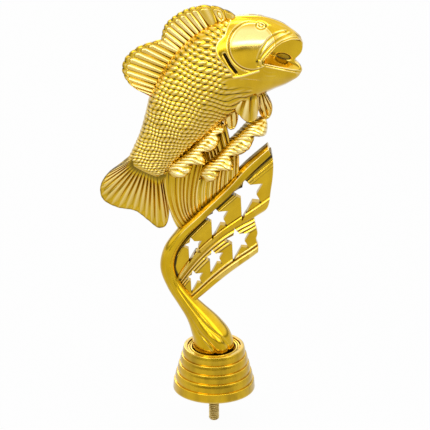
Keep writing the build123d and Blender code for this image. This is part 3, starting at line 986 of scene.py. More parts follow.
@dataclass
class Ribbon:
    """Two tiers of ridged ribbon with star openings, under the rail. The rows are shares."""

    gold: Finish
    flat_half: float = 1.5 * MM
    stem_half: float = 3.5 * MM
    star_size: float = 10.4 * MM
    spacing: float = 0.42 * MM
    along: int = 150
    across: int = 116
    rail: tuple = (
        (-0.222, 0.440), (-0.180, 0.560), (-0.110, 0.652), (-0.020, 0.748), (0.075, 0.850),
        (0.165, 0.950), (0.330, 1.110),
    )
    fold: tuple = (
        (-0.190, 0.330), (-0.118, 0.435), (-0.045, 0.522), (0.039, 0.597), (0.127, 0.657),
        (0.195, 0.697), (0.300, 0.770),
    )
    border: tuple = (
        (-0.120, 0.225), (-0.055, 0.280), (0.005, 0.336), (0.068, 0.392), (0.131, 0.443),
        (0.180, 0.481), (0.260, 0.548),
    )
    upper_edge: tuple = (
        (0.264, 1.104), (0.286, 1.010), (0.277, 0.850), (0.256, 0.750), (0.232, 0.718),
        (0.190, 0.680),
    )
    lower_edge: tuple = (
        (0.194, 0.702), (0.204, 0.650), (0.212, 0.610), (0.206, 0.585), (0.216, 0.540),
        (0.210, 0.490),
    )
    star: tuple = (
        (-0.20, 0.76), (0.10, 0.43), (0.68, 0.49), (0.39, -0.05), (0.63, -0.49),
        (0.19, -0.43), (-0.29, -1.40), (-0.34, -0.27), (-0.83, 0.00), (-0.27, 0.32),
    )
    upper_stars: tuple = ((0.166, 0.829, 1.0), (0.015, 0.694, 0.77), (-0.102, 0.543, 0.60))
    lower_stars: tuple = ((0.117, 0.575, 0.80), (0.002, 0.478, 0.60), (-0.093, 0.370, 0.56))
    upper_lines: tuple = (0.094, 0.186, 0.259, 0.322, 0.788, 0.990)
    lower_lines: tuple = (0.020, 0.133, 0.236, 0.334, 0.790)
    upper_crowns: tuple = ((0.50, 0.140, 0.046), (0.42, 0.222, 0.036), (0.30, 0.290, 0.030))
    lower_crowns: tuple = ((0.60, 0.080, 0.052), (0.55, 0.185, 0.050), (0.45, 0.285, 0.046))
    line_width: float = 0.007  # of a fine line of painted shade, as a share
    rim_width: float = 0.12 * MM  # of the rim of painted shade round an opening
    # painted shade along the stem, in fine lines by the ridges, and round the openings
    stem_shade: float = 0.8
    line_shade: float = 0.75
    rim_shade: float = 0.55

    def star_ring(self, star: tuple[float, float, float]) -> Array:
        """The outline of one star opening, its runs divided at even steps.

        Args:
            star: the middle as shares, and the size as a share of the largest.

        Returns:
            x and z round the opening.
        """
        across, up, size = star
        corners = spots([(across, up)]) + np.asarray(self.star) * self.star_size * size
        return divided(corners, self.spacing)

    def tier(
        self,
        name: str,
        rows: tuple[tuple, tuple],
        edge: tuple,
        stars: tuple,
        lines: tuple,
        profile: Callable[[Array], Array],
    ) -> Thing:
        """Make one tier: a plate whose relief depends only on how far across a place lies.

        Args:
            name: the piece's name.
            rows: shares along the upper and the lower row.
            edge: shares down the free edge.
            stars: the star openings.
            lines: shares across the tier where fine dark lines run.
            profile: half thickness from the share across the tier.

        Returns:
            The new object.
        """
        index = np.linspace(0, 1, self.along)
        top, bottom = (at_knots(spots(row), np.linspace(0, 1, len(row)), index) for row in rows)
        part = np.linspace(0, 1, self.across)[:, None, None]
        inner = (top[None] * (1 - part) + bottom[None] * part).reshape(-1, 2)
        free = curve(spots(edge), 200)
        keep_top = top[top[:, 0] < crossing(top, free)]
        keep_bottom = bottom[bottom[:, 0] < crossing(bottom, free)]
        middle = free[(free[:, 1] < keep_top[-1, 1]) & (free[:, 1] > keep_bottom[-1, 1])]
        left = divided(np.stack([bottom[0], top[0]]), self.spacing, closed=False)[1:-1]
        ring = np.vstack([keep_top, middle, keep_bottom[::-1], left])
        holes = [self.star_ring(star) for star in stars]

        def relief(where: Array) -> Array:
            """Half thickness at places."""
            return profile(share_across(where, top, bottom))

        def shade_at(where: Array) -> Array:
            """Painted shade along the stem, in fine lines by the ridges and round the openings.

            Args:
                where: x and z of places.

            Returns:
                Values from 0 to 1.
            """
            part = share_across(where, top, bottom)[:, None]
            stem = reach(where, spots(np.asarray(Stem.table)[:, :2])) - self.stem_half
            fine = bell(part - np.asarray(lines)[None], self.line_width).max(axis=1)
            rims = np.max([bell(inset(where, hole), self.rim_width) for hole in holes], axis=0)
            # painted shade in the crease by the stem, in fine lines and round the openings
            by_stem = self.stem_shade * (1 - smooth(stem, 0.0, 0.7 * MM))
            return np.clip(by_stem + self.line_shade * fine + self.rim_shade * rims, 0, 1)

        return pierced_plate(name, ring, holes, inner, relief, shade_at)

    def upper_profile(self, part: Array) -> Array:
        """Half thickness across the upper tier: band, three ridges, leaning field, rolled fold.

        Args:
            part: shares from the upper row to the lower.

        Returns:
            Metres at each share.
        """
        band = 1.3 * (1 - smooth(part, 0.085, 0.095))
        ridges = crowns(part, self.upper_crowns)
        field = 0.9 * (part - 0.30) * (part > 0.30) * (part < 0.79) - 0.25 * bell(part - 0.42, 0.10)
        roll = 1.45 * ridge(part, 0.895, 0.105) - 0.35 * bell(part - 0.995, 0.012)
        return self.flat_half + (band + ridges + field + roll) * MM

    def lower_profile(self, part: Array) -> Array:
        """Half thickness across the lower tier: three ridges, a field, a rounded border.

        Args:
            part: shares from the upper row to the lower.

        Returns:
            Metres at each share.
        """
        ridges = crowns(part, self.lower_crowns)
        field = -0.30 * bell(part - 0.52, 0.10) + 0.45 * ridge(part, 0.745, 0.028)
        border = 1.35 * ridge(part, 0.895, 0.100)
        return self.flat_half + (ridges + field + border) * MM

    def build(self) -> None:
        """Make and dress both tiers."""
        upper = (self.rail, self.fold), self.upper_edge, self.upper_stars, self.upper_lines
        piece = self.tier("upper_ribbon", *upper, self.upper_profile)
        hand_over(piece, Slot.GOLD, self.gold, "upper_star_panel")
        lower = (self.fold, self.border), self.lower_edge, self.lower_stars, self.lower_lines
        piece = self.tier("lower_ribbon", *lower, self.lower_profile)
        hand_over(piece, Slot.GOLD, self.gold, "lower_star_panel")


def divided(corners: Array, spacing: float, closed: bool = True) -> Array:
    """Divide straight runs at even steps and keep the corners.

    Args:
        corners: the corners, one row each.
        spacing: the longest step.
        closed: whether the last corner joins the first.

    Returns:
        The points in order, without the first one again at the end.
    """
    ends = np.roll(corners, -1, axis=0) if closed else corners[1:]
    rows = []
    for start, end in zip(corners, ends):
        steps = max(1, int(np.ceil(np.linalg.norm(end - start) / spacing)))
        rows.append(start + (end - start) * np.linspace(0, 1, steps, endpoint=False)[:, None])
    if not closed:
        rows.append(corners[-1:])
    return np.vstack(rows)


def crossing(row: Array, edge: Array) -> Array:
    """For each place of a row, how far along x the edge stands at that height."""
    order = np.argsort(edge[:, 1])
    return np.interp(row[:, 1], edge[order, 1], edge[order, 0])


def share_across(where: Array, top: Array, bottom: Array) -> Array:
    """How far places lie between two rows whose points pair up, read at the nearest pair.

    Args:
        where: places to read.
        top: x and z along the upper row.
        bottom: x and z along the lower row.

    Returns:
        Shares from 0 at the upper row to 1 at the lower.
    """
    run = bottom - top
    gap = np.stack([run[:, 1], -run[:, 0]], -1) / np.linalg.norm(run, axis=1)[:, None]

    def measured(way: Array) -> Array:
        """How far each place lies from each upper point along a way."""
        return np.einsum("ik,jk->ij", where, way) - np.einsum("jk,jk->j", top, way)[None]

    along = measured(run) / (run**2).sum(-1)[None]
    beyond = np.abs(along - 0.5) > 0.8  # places that another pair is for
    best = np.argmin(np.abs(measured(gap)) + beyond, axis=1)
    return np.clip(along[np.arange(len(where)), best], 0, 1)


@dataclass
class Cast:
    """A piece of the figure that stands for the CAD nodes that it names."""

    name: str
    nodes: tuple[str, ...]

    def make(self) -> Thing:
        """Make the piece, each kind in its own way."""
        raise NotImplementedError

    def build(self, gold: Finish) -> None:
        """Make and dress the piece in gold."""
        hand_over(self.make(), Slot.GOLD, gold, *self.nodes)


@dataclass
class Fan(Cast):
    """A fin of fanned rays: each line runs from a place in the body to one on the free edge."""

    lines: tuple
    rays: int
    root_half: float = 2.0 * MM
    edge_half: float = 1.0 * MM
    scallop: float = 0.65 * MM
    margin: float = 0.0  # how far the free edge stands past the lines' ends
    groove: float = 0.72
    plain: float = 0.0  # how far from the root the rays start
    specks: float = 0.9  # painted shade in the valleys near the root
    painted_highlight: float = 0.5  # painted highlight on the rays' long flanks
    beats: tuple = ()  # shares of the free edge where rays end, in place of even ones
    oval: tuple = ()  # where a small ring is cut in, as shares along the edge and from the root
    oval_size: Range = (0.026, 0.16)
    rim_groove: float = 0.22
    rim_start: float = 0.89
    ending: float = 0.04  # over how much of its length a ray runs out into the rim
    lean: float = 1.4  # above 1, each ray's crown lies past its middle
    roundness: float = 0.55  # below 1, rays are broad and the valleys narrow
    rim_arc: float = 0.05  # how far the rays' ends lie back between two scallops
    rim_ridge: float = 0.04
    bulb: float = 0.0  # how far the thickness falls off to the free edge along a quarter oval
    outline_shade: Range = (0.6, 0.3)  # painted shade on the outline between two scallops, and what a scallop adds
    # painted shade at the root
    root_shade: float = 0.6
    depth: float = 0.0
    rows: int = 110
    per_ray: int = 16

    def outline(self, part: Array) -> tuple[Array, Array, Array]:
        """Where the rays run.

        Args:
            part: shares of the free edge's length.

        Returns:
            x and z of the root and of the free edge, and the count of rays up to each share.
        """
        table = np.asarray(self.lines, float)
        knots = np.linspace(0, 1, len(table))
        run = lengths(drawn(table[:, 1]))
        where = np.interp(part, run / run[-1], knots)
        root, edge = (at_knots(drawn(table[:, end]), knots, where) for end in (0, 1))
        beats = self.beats or tuple(np.linspace(0, 1, self.rays + 1))
        return root, edge, np.interp(part, beats, np.arange(len(beats)))

    def thickness(self, part: Array, along: Array, comb: Array, bump: Array) -> Array:
        """Half the thickness: rays that end in arcs under a grooved and rounded rim.

        Args:
            part: shares of the free edge's length.
            along: shares from root to edge.
            comb: 1 on a ray's crown and 0 in the valleys.
            bump: 1 on a scallop's crown and 0 between two.

        Returns:
            Rows from root to edge, in metres.
        """
        start = self.rim_start + self.rim_arc * (bump - 1)
        depth = self.groove * (0.45 + 0.55 * smooth(along, 0.02, 0.25))
        depth = depth * smooth(along, self.plain - 0.16, self.plain + 0.08)
        running = 1 - smooth(along, start, start + self.ending)
        rays = 1 - depth * (1 - comb**self.roundness) * running
        if self.oval:
            (aside, up), (wide, tall) = self.oval, self.oval_size
            away = np.hypot((part - aside) / wide, (along - up) / tall)
            rays = rays * (1 - 0.30 * bell(away - 1, 0.28))
        rim = 1 - self.rim_groove * bell(along - start - 0.015, 0.018)
        rim = rim + self.rim_ridge * bell(along - start - 0.07, 0.045)
        notch = 1 - 0.05 * (1 - bump) * smooth(along, start + 0.02, start + 0.06)
        half = (self.root_half * (1 - along) + self.edge_half * along) * rays * rim * notch
        half = half * (0.25 + 0.75 * rounded((along - 0.95) / 0.05))
        half = half * rounded(np.abs(2 * part - 1), 50)
        return half * (1 - self.bulb * (1 - rounded((along - 0.4) / 0.6)))

    def grime(self, along: Array, phase: Array, comb: Array, bump: Array) -> Array:
        """Painted shade in the valleys, at the root and on the outline, and painted highlight on
        the rays' flanks.

        Args:
            along: shares from root to edge.
            phase: the count of rays up to each place.
            comb: 1 on a ray's crown and 0 in the valleys.
            bump: 1 on a scallop's crown and 0 between two.

        Returns:
            Rows from root to edge.
        """
        # painted shade in the valleys near the root, painted highlight on the rays' flanks
        shade = self.specks * (1 - comb) ** 4 * bell(along - 0.30, 0.20)
        shade = shade - self.painted_highlight * bell(phase % 1.0 - 0.38, 0.17) * smooth(along, 0.15, 0.6)
        least, more = self.outline_shade
        # painted shade on the outline and at the root
        outline = (least + more * bump) * smooth(along, 0.94, 0.98)
        return shade + (outline + self.root_shade * (1 - smooth(along, 0.08, 0.28)))

    def make(self) -> Thing:
        """Run rays from root to edge under a scalloped rim.

        A ray's comb is the sine of its phase, leaned over by a power. A scallop is a blunter sine.

        Returns:
            The new object.
        """
        part = np.linspace(0, 1, self.rays * self.per_ray + 1)
        root, edge, phase = self.outline(part)
        comb = np.sin(math.pi * (phase % 1.0) ** self.lean)[None]
        bump = np.abs(np.sin(math.pi * phase)) ** 0.6
        out = (edge - root) / np.linalg.norm(edge - root, axis=1)[:, None]
        edge = edge + out * (self.scallop * (bump - 0.65) + self.margin)[:, None]
        along = np.linspace(0, 1, self.rows)[:, None] ** 0.85
        places = root[None] * (1 - along[..., None]) + edge[None] * along[..., None]
        half = self.thickness(part[None], along, comb, bump[None])
        shade = self.grime(along, phase[None], comb, bump[None])
        return leaf(self.name, places, self.depth - half, self.depth + half, 70, shade)


@dataclass
class Crest(Cast):
    """A curl of foam: a rope of near-level strands whose lower side is notched into lobes."""

    path: tuple  # shares, and the size as a share of the radius
    notches: tuple[float, ...]  # levels in the picture where the lower side is cut in
    pitch: float = 3.6  # from strand to strand in the picture
    fall: float = 0.15  # how far strands fall for each unit to the right
    slope: float = 0.21  # how far notches fall for each unit to the right
    lobe_reach: float = 9.0
    lobe_height: float = 0.88
    notch_depth: float = 0.46
    strand_height: float = 0.045
    core: float = 0.85  # the rope's own share of the radius
    radius: float = 5.5 * MM
    depth_share: float = 1.4
    # painted shade in the notches and along the top
    notch_shade: float = 0.95
    top_shade: float = 0.75
    gloss: float = 0.55  # painted highlight on the strands
    rows: int = 340
    around: int = 160

    def make(self) -> Thing:
        """Rings along the path, swollen by strands and, on the lower side, by lobes.

        A place's level is how far down it is seen, less a share of how far across. Strands are a
        skewed comb of one level over the pitch. A lobe grows with the root of the distance from
        another level to the nearest notch.

        Returns:
            The new object.
        """
        table = np.asarray(self.path, float)
        middle = spots(table[:, :2])
        knots = lengths(middle)
        where = np.linspace(0, knots[-1], self.rows)
        line = at_knots(middle, knots, where)
        plain = self.radius * at_knots(table[:, 2:], knots, where)
        heading = np.gradient(line, axis=0)
        heading /= np.linalg.norm(heading, axis=1)[:, None]
        turn = np.linspace(0, 2 * math.pi, self.around, endpoint=False)[None, :]
        upwards = np.cos(turn)
        ends = rounded(np.abs(2 * (where / knots[-1])[:, None] - 1), 12)

        def ring(radius: Array) -> Array:
            """Points round the path.

            Args:
                radius: metres at each place round each ring.

            Returns:
                Rows of rings of x, y and z.
            """
            up, out = radius * upwards, np.abs(radius * self.depth_share) * np.sin(turn)
            x, z = line[:, :1] - up * heading[:, 1:], line[:, 1:] + up * heading[:, :1]
            return np.stack([x, -out, z], axis=-1)

        view = seen(ring(0.9 * plain * ends))
        across, down = view[..., 0], view[..., 1]
        steps = (down - self.fall * across) / self.pitch
        strand = np.abs(np.sin(math.pi * (steps % 1.0) ** 0.8)) ** 0.7
        level = (down - self.slope * across)[..., None]
        lobe = np.min(np.abs(level - np.asarray(self.notches)), axis=-1) / self.lobe_reach
        lobe = np.sqrt(np.clip(lobe, 0, 1))
        lower = smooth(-upwards, -0.25, 0.55)
        swell = self.core + lower * (self.lobe_height * lobe - self.notch_depth)
        radius = plain * ends * (swell + self.strand_height * strand)
        # painted shade in the notches and along the top, painted highlight on the strands
        shade = self.notch_shade * lower * smooth(1 - lobe, 0.25, 0.70)
        shade = shade + self.top_shade * smooth(upwards, 0.60, 0.92)
        painted_highlight = smooth(strand, 0.45, 0.95) * (1 - smooth(upwards, 0.6, 0.9))
        return tube(self.name, ring(radius), 60, np.clip(shade - self.gloss * painted_highlight, -1, 1))


@dataclass
class Curtain(Cast):
    """A sheet of falling water: flutes that run from a crest to the rail and bow on the way."""

    top: tuple
    knee: tuple
    bottom: tuple
    flutes: int
    half: float = 3.0 * MM
    groove: float = 0.23
    fine: float = 0.03  # height of the finer wave
    sway: float = 0.25  # how far a flute wanders, as a share of its width
    thinning: float = 0.35
    # painted shade over the whole sheet, in its valleys, at its head and at its foot
    grime: float = 0.0
    valley_grime: float = 0.35
    head_painted_light: float = 0.25
    foot_shade: float = 0.70
    gloss: float = 0.30  # painted highlight on the flutes' crowns
    rows: int = 70
    per_flute: int = 14

    def make(self) -> Thing:
        """Carry each flute down a quadratic curve from top by way of knee to bottom.

        A flute is half a sine wave across, with a finer wave on it. The flutes wander a little to
        the side, thin out towards the rail, and carry painted shade at both ends and a painted
        highlight on their crowns.

        Returns:
            The new object.
        """
        part = np.linspace(0, 1, self.flutes * self.per_flute + 1)
        lines = (curve(drawn(line), len(part))[None] for line in (self.top, self.knee, self.bottom))
        top, knee, bottom = lines
        along = np.linspace(0, 1, self.rows)[:, None]
        down = along[..., None]
        places = (1 - down) ** 2 * top + 2 * down * (1 - down) * knee + down**2 * bottom
        wander = part + self.sway / self.flutes * np.sin(2 * math.pi * (1.7 * part + 0.2))
        wave = np.abs(np.sin(math.pi * self.flutes * wander))[None]
        comb = wave**0.9
        fine = self.fine * np.sin(5 * math.pi * self.flutes * wander)[None]
        half = self.half * (1 - self.groove * (1 - comb) + fine * comb)
        half = half * (1 - self.thinning * smooth(along, 0.72, 1.0))
        head, foot = bell(along, 0.22), bell(1 - along, 0.10)
        # painted shade at the head, in the valleys and at the foot; painted highlight on the crowns
        shade = self.grime + self.valley_grime * head * (1 - wave**0.5) + self.head_painted_light * head
        shade = shade + self.foot_shade * foot
        shade = np.clip(shade - self.gloss * (comb > 0.9) * comb, -1, 1)
        return leaf(self.name, places, -half, half, 70, shade)


@dataclass
class Fish:
    """The fish's body: two scaled shells with gill cover, cheek, jaws, mouth and eye."""

    gold: Finish
    half_thickness: float = 11.5 * MM
    body_grid: tuple = (0.0, 10.8, 400, 214)  # first and last row, points along and across
    head_grid: tuple = (7.2, 16.0, 330, 260)
    lens: tuple = (
        (0, 0), (0.06, 0.46), (0.20, 0.80), (0.45, 1.00), (0.70, 0.90), (0.91, 0.52), (1, 0),
    )
    web: float = 1.8 * MM
    lip_set_back: float = 3.7 * MM
    lip_rows: Range = (11.5, 16)  # the rows over which the lips are set back
    lip_share: Range = (0.58, 0.19)  # middle and half width of that, as shares across
    scale_lift: float = 0.55 * MM
    scale_pitch: Range = (1.75 * MM, 0.85 * MM)  # at the tail, and what it grows by
    slant: Range = (0.60, 0.55)  # of the bars at the tail, and what it grows by
    drifts: Range = (0.13, 0.10)  # how far bars and rows wander, as shares of a scale
    heights: tuple = (0.40, 0.25, 0.45)  # of bars, of rows, and of beads where they meet
    under_cover: float = 1.8 * MM  # how far the body sinks under the gill cover
    cover_step: Range = (1.45, 0.50)  # of the gill cover, and less at the throat, in millimetres
    cover_sink: float = 0.85  # the skin behind the gill cover, in millimetres
    cheek_step: float = 0.45 * MM
    cheek_cut: float = 0.38 * MM
    slot_cut: float = 1.3 * MM
    throat_height: float = 0.45 * MM
    brow_height: float = 0.25 * MM
    lip_height: float = 0.35 * MM
    hollow_height: float = 0.45 * MM
    # The back's place, the belly's place, and the share of the half thickness
    rows: tuple = (
        (-0.424, 0.997, -0.248, 0.905, 0.42),
        (-0.394, 1.062, -0.222, 0.950, 0.52),
        (-0.360, 1.148, -0.184, 0.998, 0.64),
        (-0.332, 1.256, -0.132, 1.048, 0.77),
        (-0.312, 1.348, -0.080, 1.098, 0.87),
        (-0.278, 1.440, -0.026, 1.146, 0.94),
        (-0.224, 1.540, 0.030, 1.196, 0.98),
        (-0.146, 1.634, 0.086, 1.240, 1.00),
        (-0.060, 1.706, 0.138, 1.282, 1.00),
        (0.024, 1.750, 0.180, 1.316, 0.99),
        (0.097, 1.769, 0.216, 1.340, 0.97),
        (0.175, 1.773, 0.256, 1.364, 0.93),
        (0.248, 1.764, 0.297, 1.385, 0.86),
        (0.321, 1.737, 0.341, 1.404, 0.75),
        (0.370, 1.704, 0.372, 1.422, 0.64),
        (0.404, 1.672, 0.400, 1.444, 0.52),
        (0.425, 1.640, 0.423, 1.474, 0.38),
    )
    # From here on, places and widths are in picture units, across and down
    gill_line: tuple = (
        (232, 14), (224, 36), (217, 43), (214.5, 50), (216, 57), (220, 63), (225, 68), (230, 74),
        (232, 80), (257, 84), (259, 98),
    )
    gill_slot: tuple = ((224.5, 56), (230, 66), (236, 73.5))
    cheek_middle: tuple = (252.0, 47.5)
    cheek_radius: float = 22.8
    brow: tuple = (
        (233, 18.5), (250, 20), (260, 20.5), (270, 23), (280, 27.5), (290, 31.5), (296, 37),
        (299, 42),
    )
    jaw_lines: tuple = (
        ((286, 33.2), (279, 34.8), (269, 40), (262.7, 48.6), (259, 56), (257.5, 61), (257.5, 66)),
        ((290, 35), (283, 38), (275, 43), (270, 47), (263, 55), (259, 60)),
        ((259, 66), (262, 72), (268, 74.5), (275, 74)),
    )
    jaw_cuts: tuple = (0.46 * MM, 0.36 * MM, 0.15 * MM)  # how deep each jaw line is, in metres
    throat_ridge: tuple = ((230, 78.5), (240, 77), (250, 74), (258, 71.5))
    mouth: tuple = (
        (305, 42), (299, 40.5), (290, 40.5), (281, 44), (274, 49), (267.5, 56), (262.5, 62),
        (262.5, 64.5), (268, 66), (278, 68), (290, 70.5), (300, 72), (305, 72),
    )
    mouth_hollow: tuple = ((282.5, 63), (8, 3.2))  # middle and half sizes
    mouth_corner: tuple = ((256.0, 62.0), (263.0, 63.5))
    eye: tuple = (260.5, 27.5)
    eye_rings: Range = (3.9, 1.7)
    # Painted shade and painted highlight on the head
    roof_shade: float = 0.22
    hollow_shade: float = 0.35
    floor_highlight: float = 0.60
    eye_shade: float = 0.40
    cheek_shade: float = 0.12
    cheek_highlight: float = 0.7
    corner_shade: float = 0.9

    def patch(
        self, first: float, last: float, along: int, across: int
    ) -> tuple[Array, Array, Array]:
        """A stretch of the plain near half: lens sections from back to belly, set back at the lips.

        Args:
            first: the table's row where the stretch starts.
            last: the row where it ends.
            along: how many sections.
            across: how many points a section has.

        Returns:
            Points, the length along the whole body, and the share across.
        """
        table = np.asarray(self.rows, float)
        knots = np.arange(len(table), dtype=float)
        dense = np.linspace(0, knots[-1], 800)
        length = lengths(at_knots((table[:, :2] + table[:, 2:4]) / 2, knots, dense))
        even = np.linspace(*np.interp((first, last), dense, length), along)
        where = np.interp(even, length, dense)
        row = at_knots(table, knots, where)
        back, belly = spots(row[:, :2])[:, None], spots(row[:, 2:4])[:, None]
        section = curve(np.asarray(self.lens) * (3, 1), across) / (3, 1)
        part, out = section[None, :, :1], section[None, :, 1]
        places = back * (1 - part) + belly * part
        middle, wide = self.lip_share
        lip = smooth(where, *self.lip_rows)[:, None] * bell(part[..., 0] - middle, wide)
        places[..., 0] -= self.lip_set_back * lip
        nose = rounded(where - 15)[:, None]
        tail = np.sqrt(np.clip(1 - np.clip(0.35 - where, 0, 0.35) ** 2 / 0.35**2, 0, 1))[:, None]
        depth = self.half_thickness * row[:, 4:5] * out * nose * (tail * 0.3 + 0.7)
        points = np.stack([places[..., 0], -depth, places[..., 1]], axis=-1)
        full = np.ones_like(depth)
        return points, even[:, None] * SPAN * full, part[..., 0] * full

    def scales(self, points: Array, length: Array, part: Array) -> Array:
        """Overlapping scales: beads where bars across the body meet rows along it, pits between.

        A bar's phase is the length along the body less a share of the place across it, over the
        pitch. On the belly the rows fade and the bars stay.

        Args:
            points: the plain shell.
            length: metres along the body.
            part: the share from back to belly.

        Returns:
            How far each point is lifted, as a share of the scales' lift.
        """
        wide = np.linalg.norm(points[:, -1] - points[:, 0], axis=-1)[:, None]
        least, more = self.scale_pitch
        pitch = least + more * smooth(length, 0.0, 0.060)
        column = np.cumsum(np.gradient(length[:, 0]) / pitch[:, 0])[:, None]
        least, more = self.slant
        slant = least + more * smooth(length, 0.055, 0.095)
        slow, quick = self.drifts
        drift = slow * np.sin(9.0 * part + 0.9 * column)
        drift = drift + quick * np.sin(17.0 * part - 1.7 * column)
        crosswise = column - slant * part * wide / pitch + drift
        lengthwise = (part - 0.02) * wide / (0.98 * pitch) + drift
        bars, rows = (np.abs(np.cos(math.pi * phase)) ** 1.3 for phase in (crosswise, lengthwise))
        belly = smooth(part, 0.50, 0.68) * smooth(length, 0.035, 0.060)
        fade = 1 - 0.75 * belly
        bar, row, bead = self.heights
        return (bar + 0.15 * belly) * bars + fade * (row * rows + bead * bars * rows)

    def raised(self, points: Array, lift: Array) -> Array:
        """Move points outwards by a lift, and those on the mid plane within it.

        Args:
            points: rows of points.
            lift: metres for each.

        Returns:
            The moved points.
        """
        normal = np.cross(np.gradient(points, axis=0), np.gradient(points, axis=1))
        normal /= np.maximum(np.linalg.norm(normal, axis=-1, keepdims=True), TINY)
        middle = normal[len(normal) // 2, points.shape[1] // 2]
        normal *= np.where(middle[1] > 0, -1.0, 1.0)
        flat = (np.abs(points[..., 1]) < 1e-7)[..., None]
        return points + np.where(flat, normal * (1, 0, 1), normal) * lift[..., None]

    def body_skin(self) -> tuple[Array, Array]:
        """The scaled body as far as under the gill cover.

        Returns:
            Rows of points, and the grime at each.
        """
        points, length, part = self.patch(*self.body_grid)
        root = smooth(length, 1.0 * MM, 3.5 * MM)
        edge = smooth(part, 0.0, 0.03) * (1 - smooth(part, 0.97, 1.0))
        view = seen(points)
        cover = inset(view, self.cover_ring())
        throat = smooth(view[..., 1], 74, 84)
        fade = 1 - throat * smooth(cover, -14, -1)
        pattern = self.scales(points, length, part)
        middle = bell(part - 0.36, 0.24) * bell(length - 0.070, 0.045)
        # painted shade in the pits between the scales, strongest mid-body
        pits = (0.45 + 0.55 * middle) * (1 - smooth(pattern, 0.03, 0.34)) * fade
        # Painted shade in the gap between the belly and the rear crest
        by_crest = smooth(view[..., 0], 158, 168) * (1 - smooth(view[..., 0], 230, 242))
        gap = smooth(part, 0.955, 0.99) * by_crest
        sink = smooth(cover, 1.5 + 5 * throat, 4.0 + 6 * throat)
        lift = self.scale_lift * pattern * root * edge * fade - self.under_cover * sink * edge
        return self.raised(points, lift), np.clip(pits * root * edge + gap, 0, 1)

    def cover_ring(self) -> Array:
        """The gill line closed round the head, in the picture."""
        return np.asarray(self.gill_line + ((420, 98), (420, 0), (232, 0)), float)

    def head_lift(self, view: Array, cover: Array, cheek: Array, eye: Array) -> Array:
        """How far the head's skin stands out: gill cover, cheek, slot, jaw lines, brow and eye.

        Args:
            view: picture places.
            cover: how far inside the gill line each lies.
            cheek: how far inside the cheek's circle.
            eye: how far from the eye's middle.

        Returns:
            Metres at each place.
        """
        throat = smooth(view[..., 1], 76, 83)
        rise = smooth(cover + 0.8 + 3 * throat, 0, 1.7 + 7 * throat)
        lip = (0.15 - 0.15 * throat) * bell(cover - 1.6, 0.9)
        step, less = self.cover_step
        lift = MM * ((step - less * throat) * rise - self.cover_sink + lip)
        lift += self.cheek_step * smooth(cheek, -0.6, 1.1) * smooth(cover, 0, 2)
        lift -= self.cheek_cut * bell(cheek + 1.1, 0.85) * self.cheek_rim(view, cover)
        lift -= self.slot_cut * bell(reach(view, np.asarray(self.gill_slot)), 1.4)
        for line, cut in zip(self.jaw_lines, self.jaw_cuts):
            lift -= cut * bell(reach(view, curve(line, 24)), 1.3)
        lift += self.throat_height * bell(reach(view, curve(self.throat_ridge, 16)), 1.3)
        lift += self.brow_height * bell(reach(view, curve(self.brow, 30)), 0.9)
        outer, inner = self.eye_rings
        rings = 0.22 * bell(eye - outer, 0.85) + 0.20 * bell(eye - inner, 0.65)
        return lift + MM * (0.15 * smooth(outer - eye, 0, 0.9) - rings)

    def cheek_rim(self, view: Array, cover: Array) -> Array:
        """1 along the rear of the cheek, where its rim is cut in."""
        return smooth(cover, 0, 2) * (1 - smooth(view[..., 0], 246, 256))

    def hollow(self, view: Array) -> Array:
        """The shallow oval on the mouth's floor.

        Args:
            view: picture places.

        Returns:
            1 within the oval and 0 outside it.
        """
        middle, size = self.mouth_hollow
        away = (view - middle) / size
        return 1 - smooth(np.hypot(away[..., 0], away[..., 1]), 0.75, 1.1)

    def head_painted_light(
        self, view: Array, cover: Array, cheek: Array, eye: Array, gape: Array
    ) -> Array:
        """Painted shade in the slot, the mouth, the eye's rings and the lips' corner; painted
        highlight on the cheek and by the mouth's corner.

        Args:
            view: picture places.
            cover: how far inside the gill line each lies.
            cheek: how far inside the cheek's circle.
            eye: how far from the eye's middle.
            gape: how far inside the mouth's outline.

        Returns:
            Values from -1 to 1.
        """
        across, down = view[..., 0], view[..., 1]
        roof = smooth(across + 0.8 * (60 - down), 268, 296)
        floor = self.hollow_shade * self.hollow(view)
        bright = self.floor_highlight * (1 - smooth(across, 266, 276))
        mouth = smooth(gape, 0.3, 3.0) * (self.roof_shade * roof + floor - bright)
        # painted shade in the gill slot and the mouth, painted highlight on the mouth's floor by
        # its corner
        shade = bell(reach(view, np.asarray(self.gill_slot)), 1.7) + mouth
        for ring, width in zip(self.eye_rings, (0.75, 0.60)):
            shade += self.eye_shade * bell(eye - ring, width)
        shade += self.cheek_shade * bell(cheek + 1.3, 0.8) * self.cheek_rim(view, cover)
        # painted highlight on the upper cheek
        painted_highlight = smooth(cheek, 0, 4) * smooth(down, 25, 33) * (1 - smooth(down, 42, 54))
        shade -= self.cheek_highlight * painted_highlight * smooth(-gape, 1, 5)
        for spot in self.mouth_corner:
            away = np.hypot((across - spot[0]) / 0.7, down - spot[1])
            shade += self.corner_shade * bell(away, 1.8)
        return np.clip(shade, -1, 1)

    def head_skin(self) -> tuple[Array, Array]:
        """The head with its lifted plates and the gape sunk to the web between the halves.

        Returns:
            Rows of points, and the painted shade and highlight at each.
        """
        points, _, part = self.patch(*self.head_grid)
        view = seen(points)
        away = view - self.cheek_middle
        cover = inset(view, self.cover_ring())
        cheek = self.cheek_radius - np.hypot(away[..., 0], away[..., 1])
        eye = np.hypot((view[..., 0] - self.eye[0]) / 1.25, view[..., 1] - self.eye[1])
        seam = smooth(part, 0.0, 0.07) * (1 - smooth(part, 0.93, 1.0))
        lift = self.head_lift(view, cover, cheek, eye) * seam + 0.08 * MM * (1 - seam)
        moved = self.raised(points, lift)
        gape = inset(view, np.asarray(self.mouth, float))
        sink = smooth(gape, 0.0, 3.5)
        floor = -self.web + self.hollow_height * self.hollow(view)
        depth = moved[..., 1]
        depth = np.where(depth < floor, depth * (1 - sink) + floor * sink, depth)
        depth = depth + self.lip_height * bell(gape + 0.8, 0.7) * (part > 0.05)
        moved[..., 1] = np.minimum(depth, 0)
        return moved, self.head_painted_light(view, cover, cheek, eye, gape)

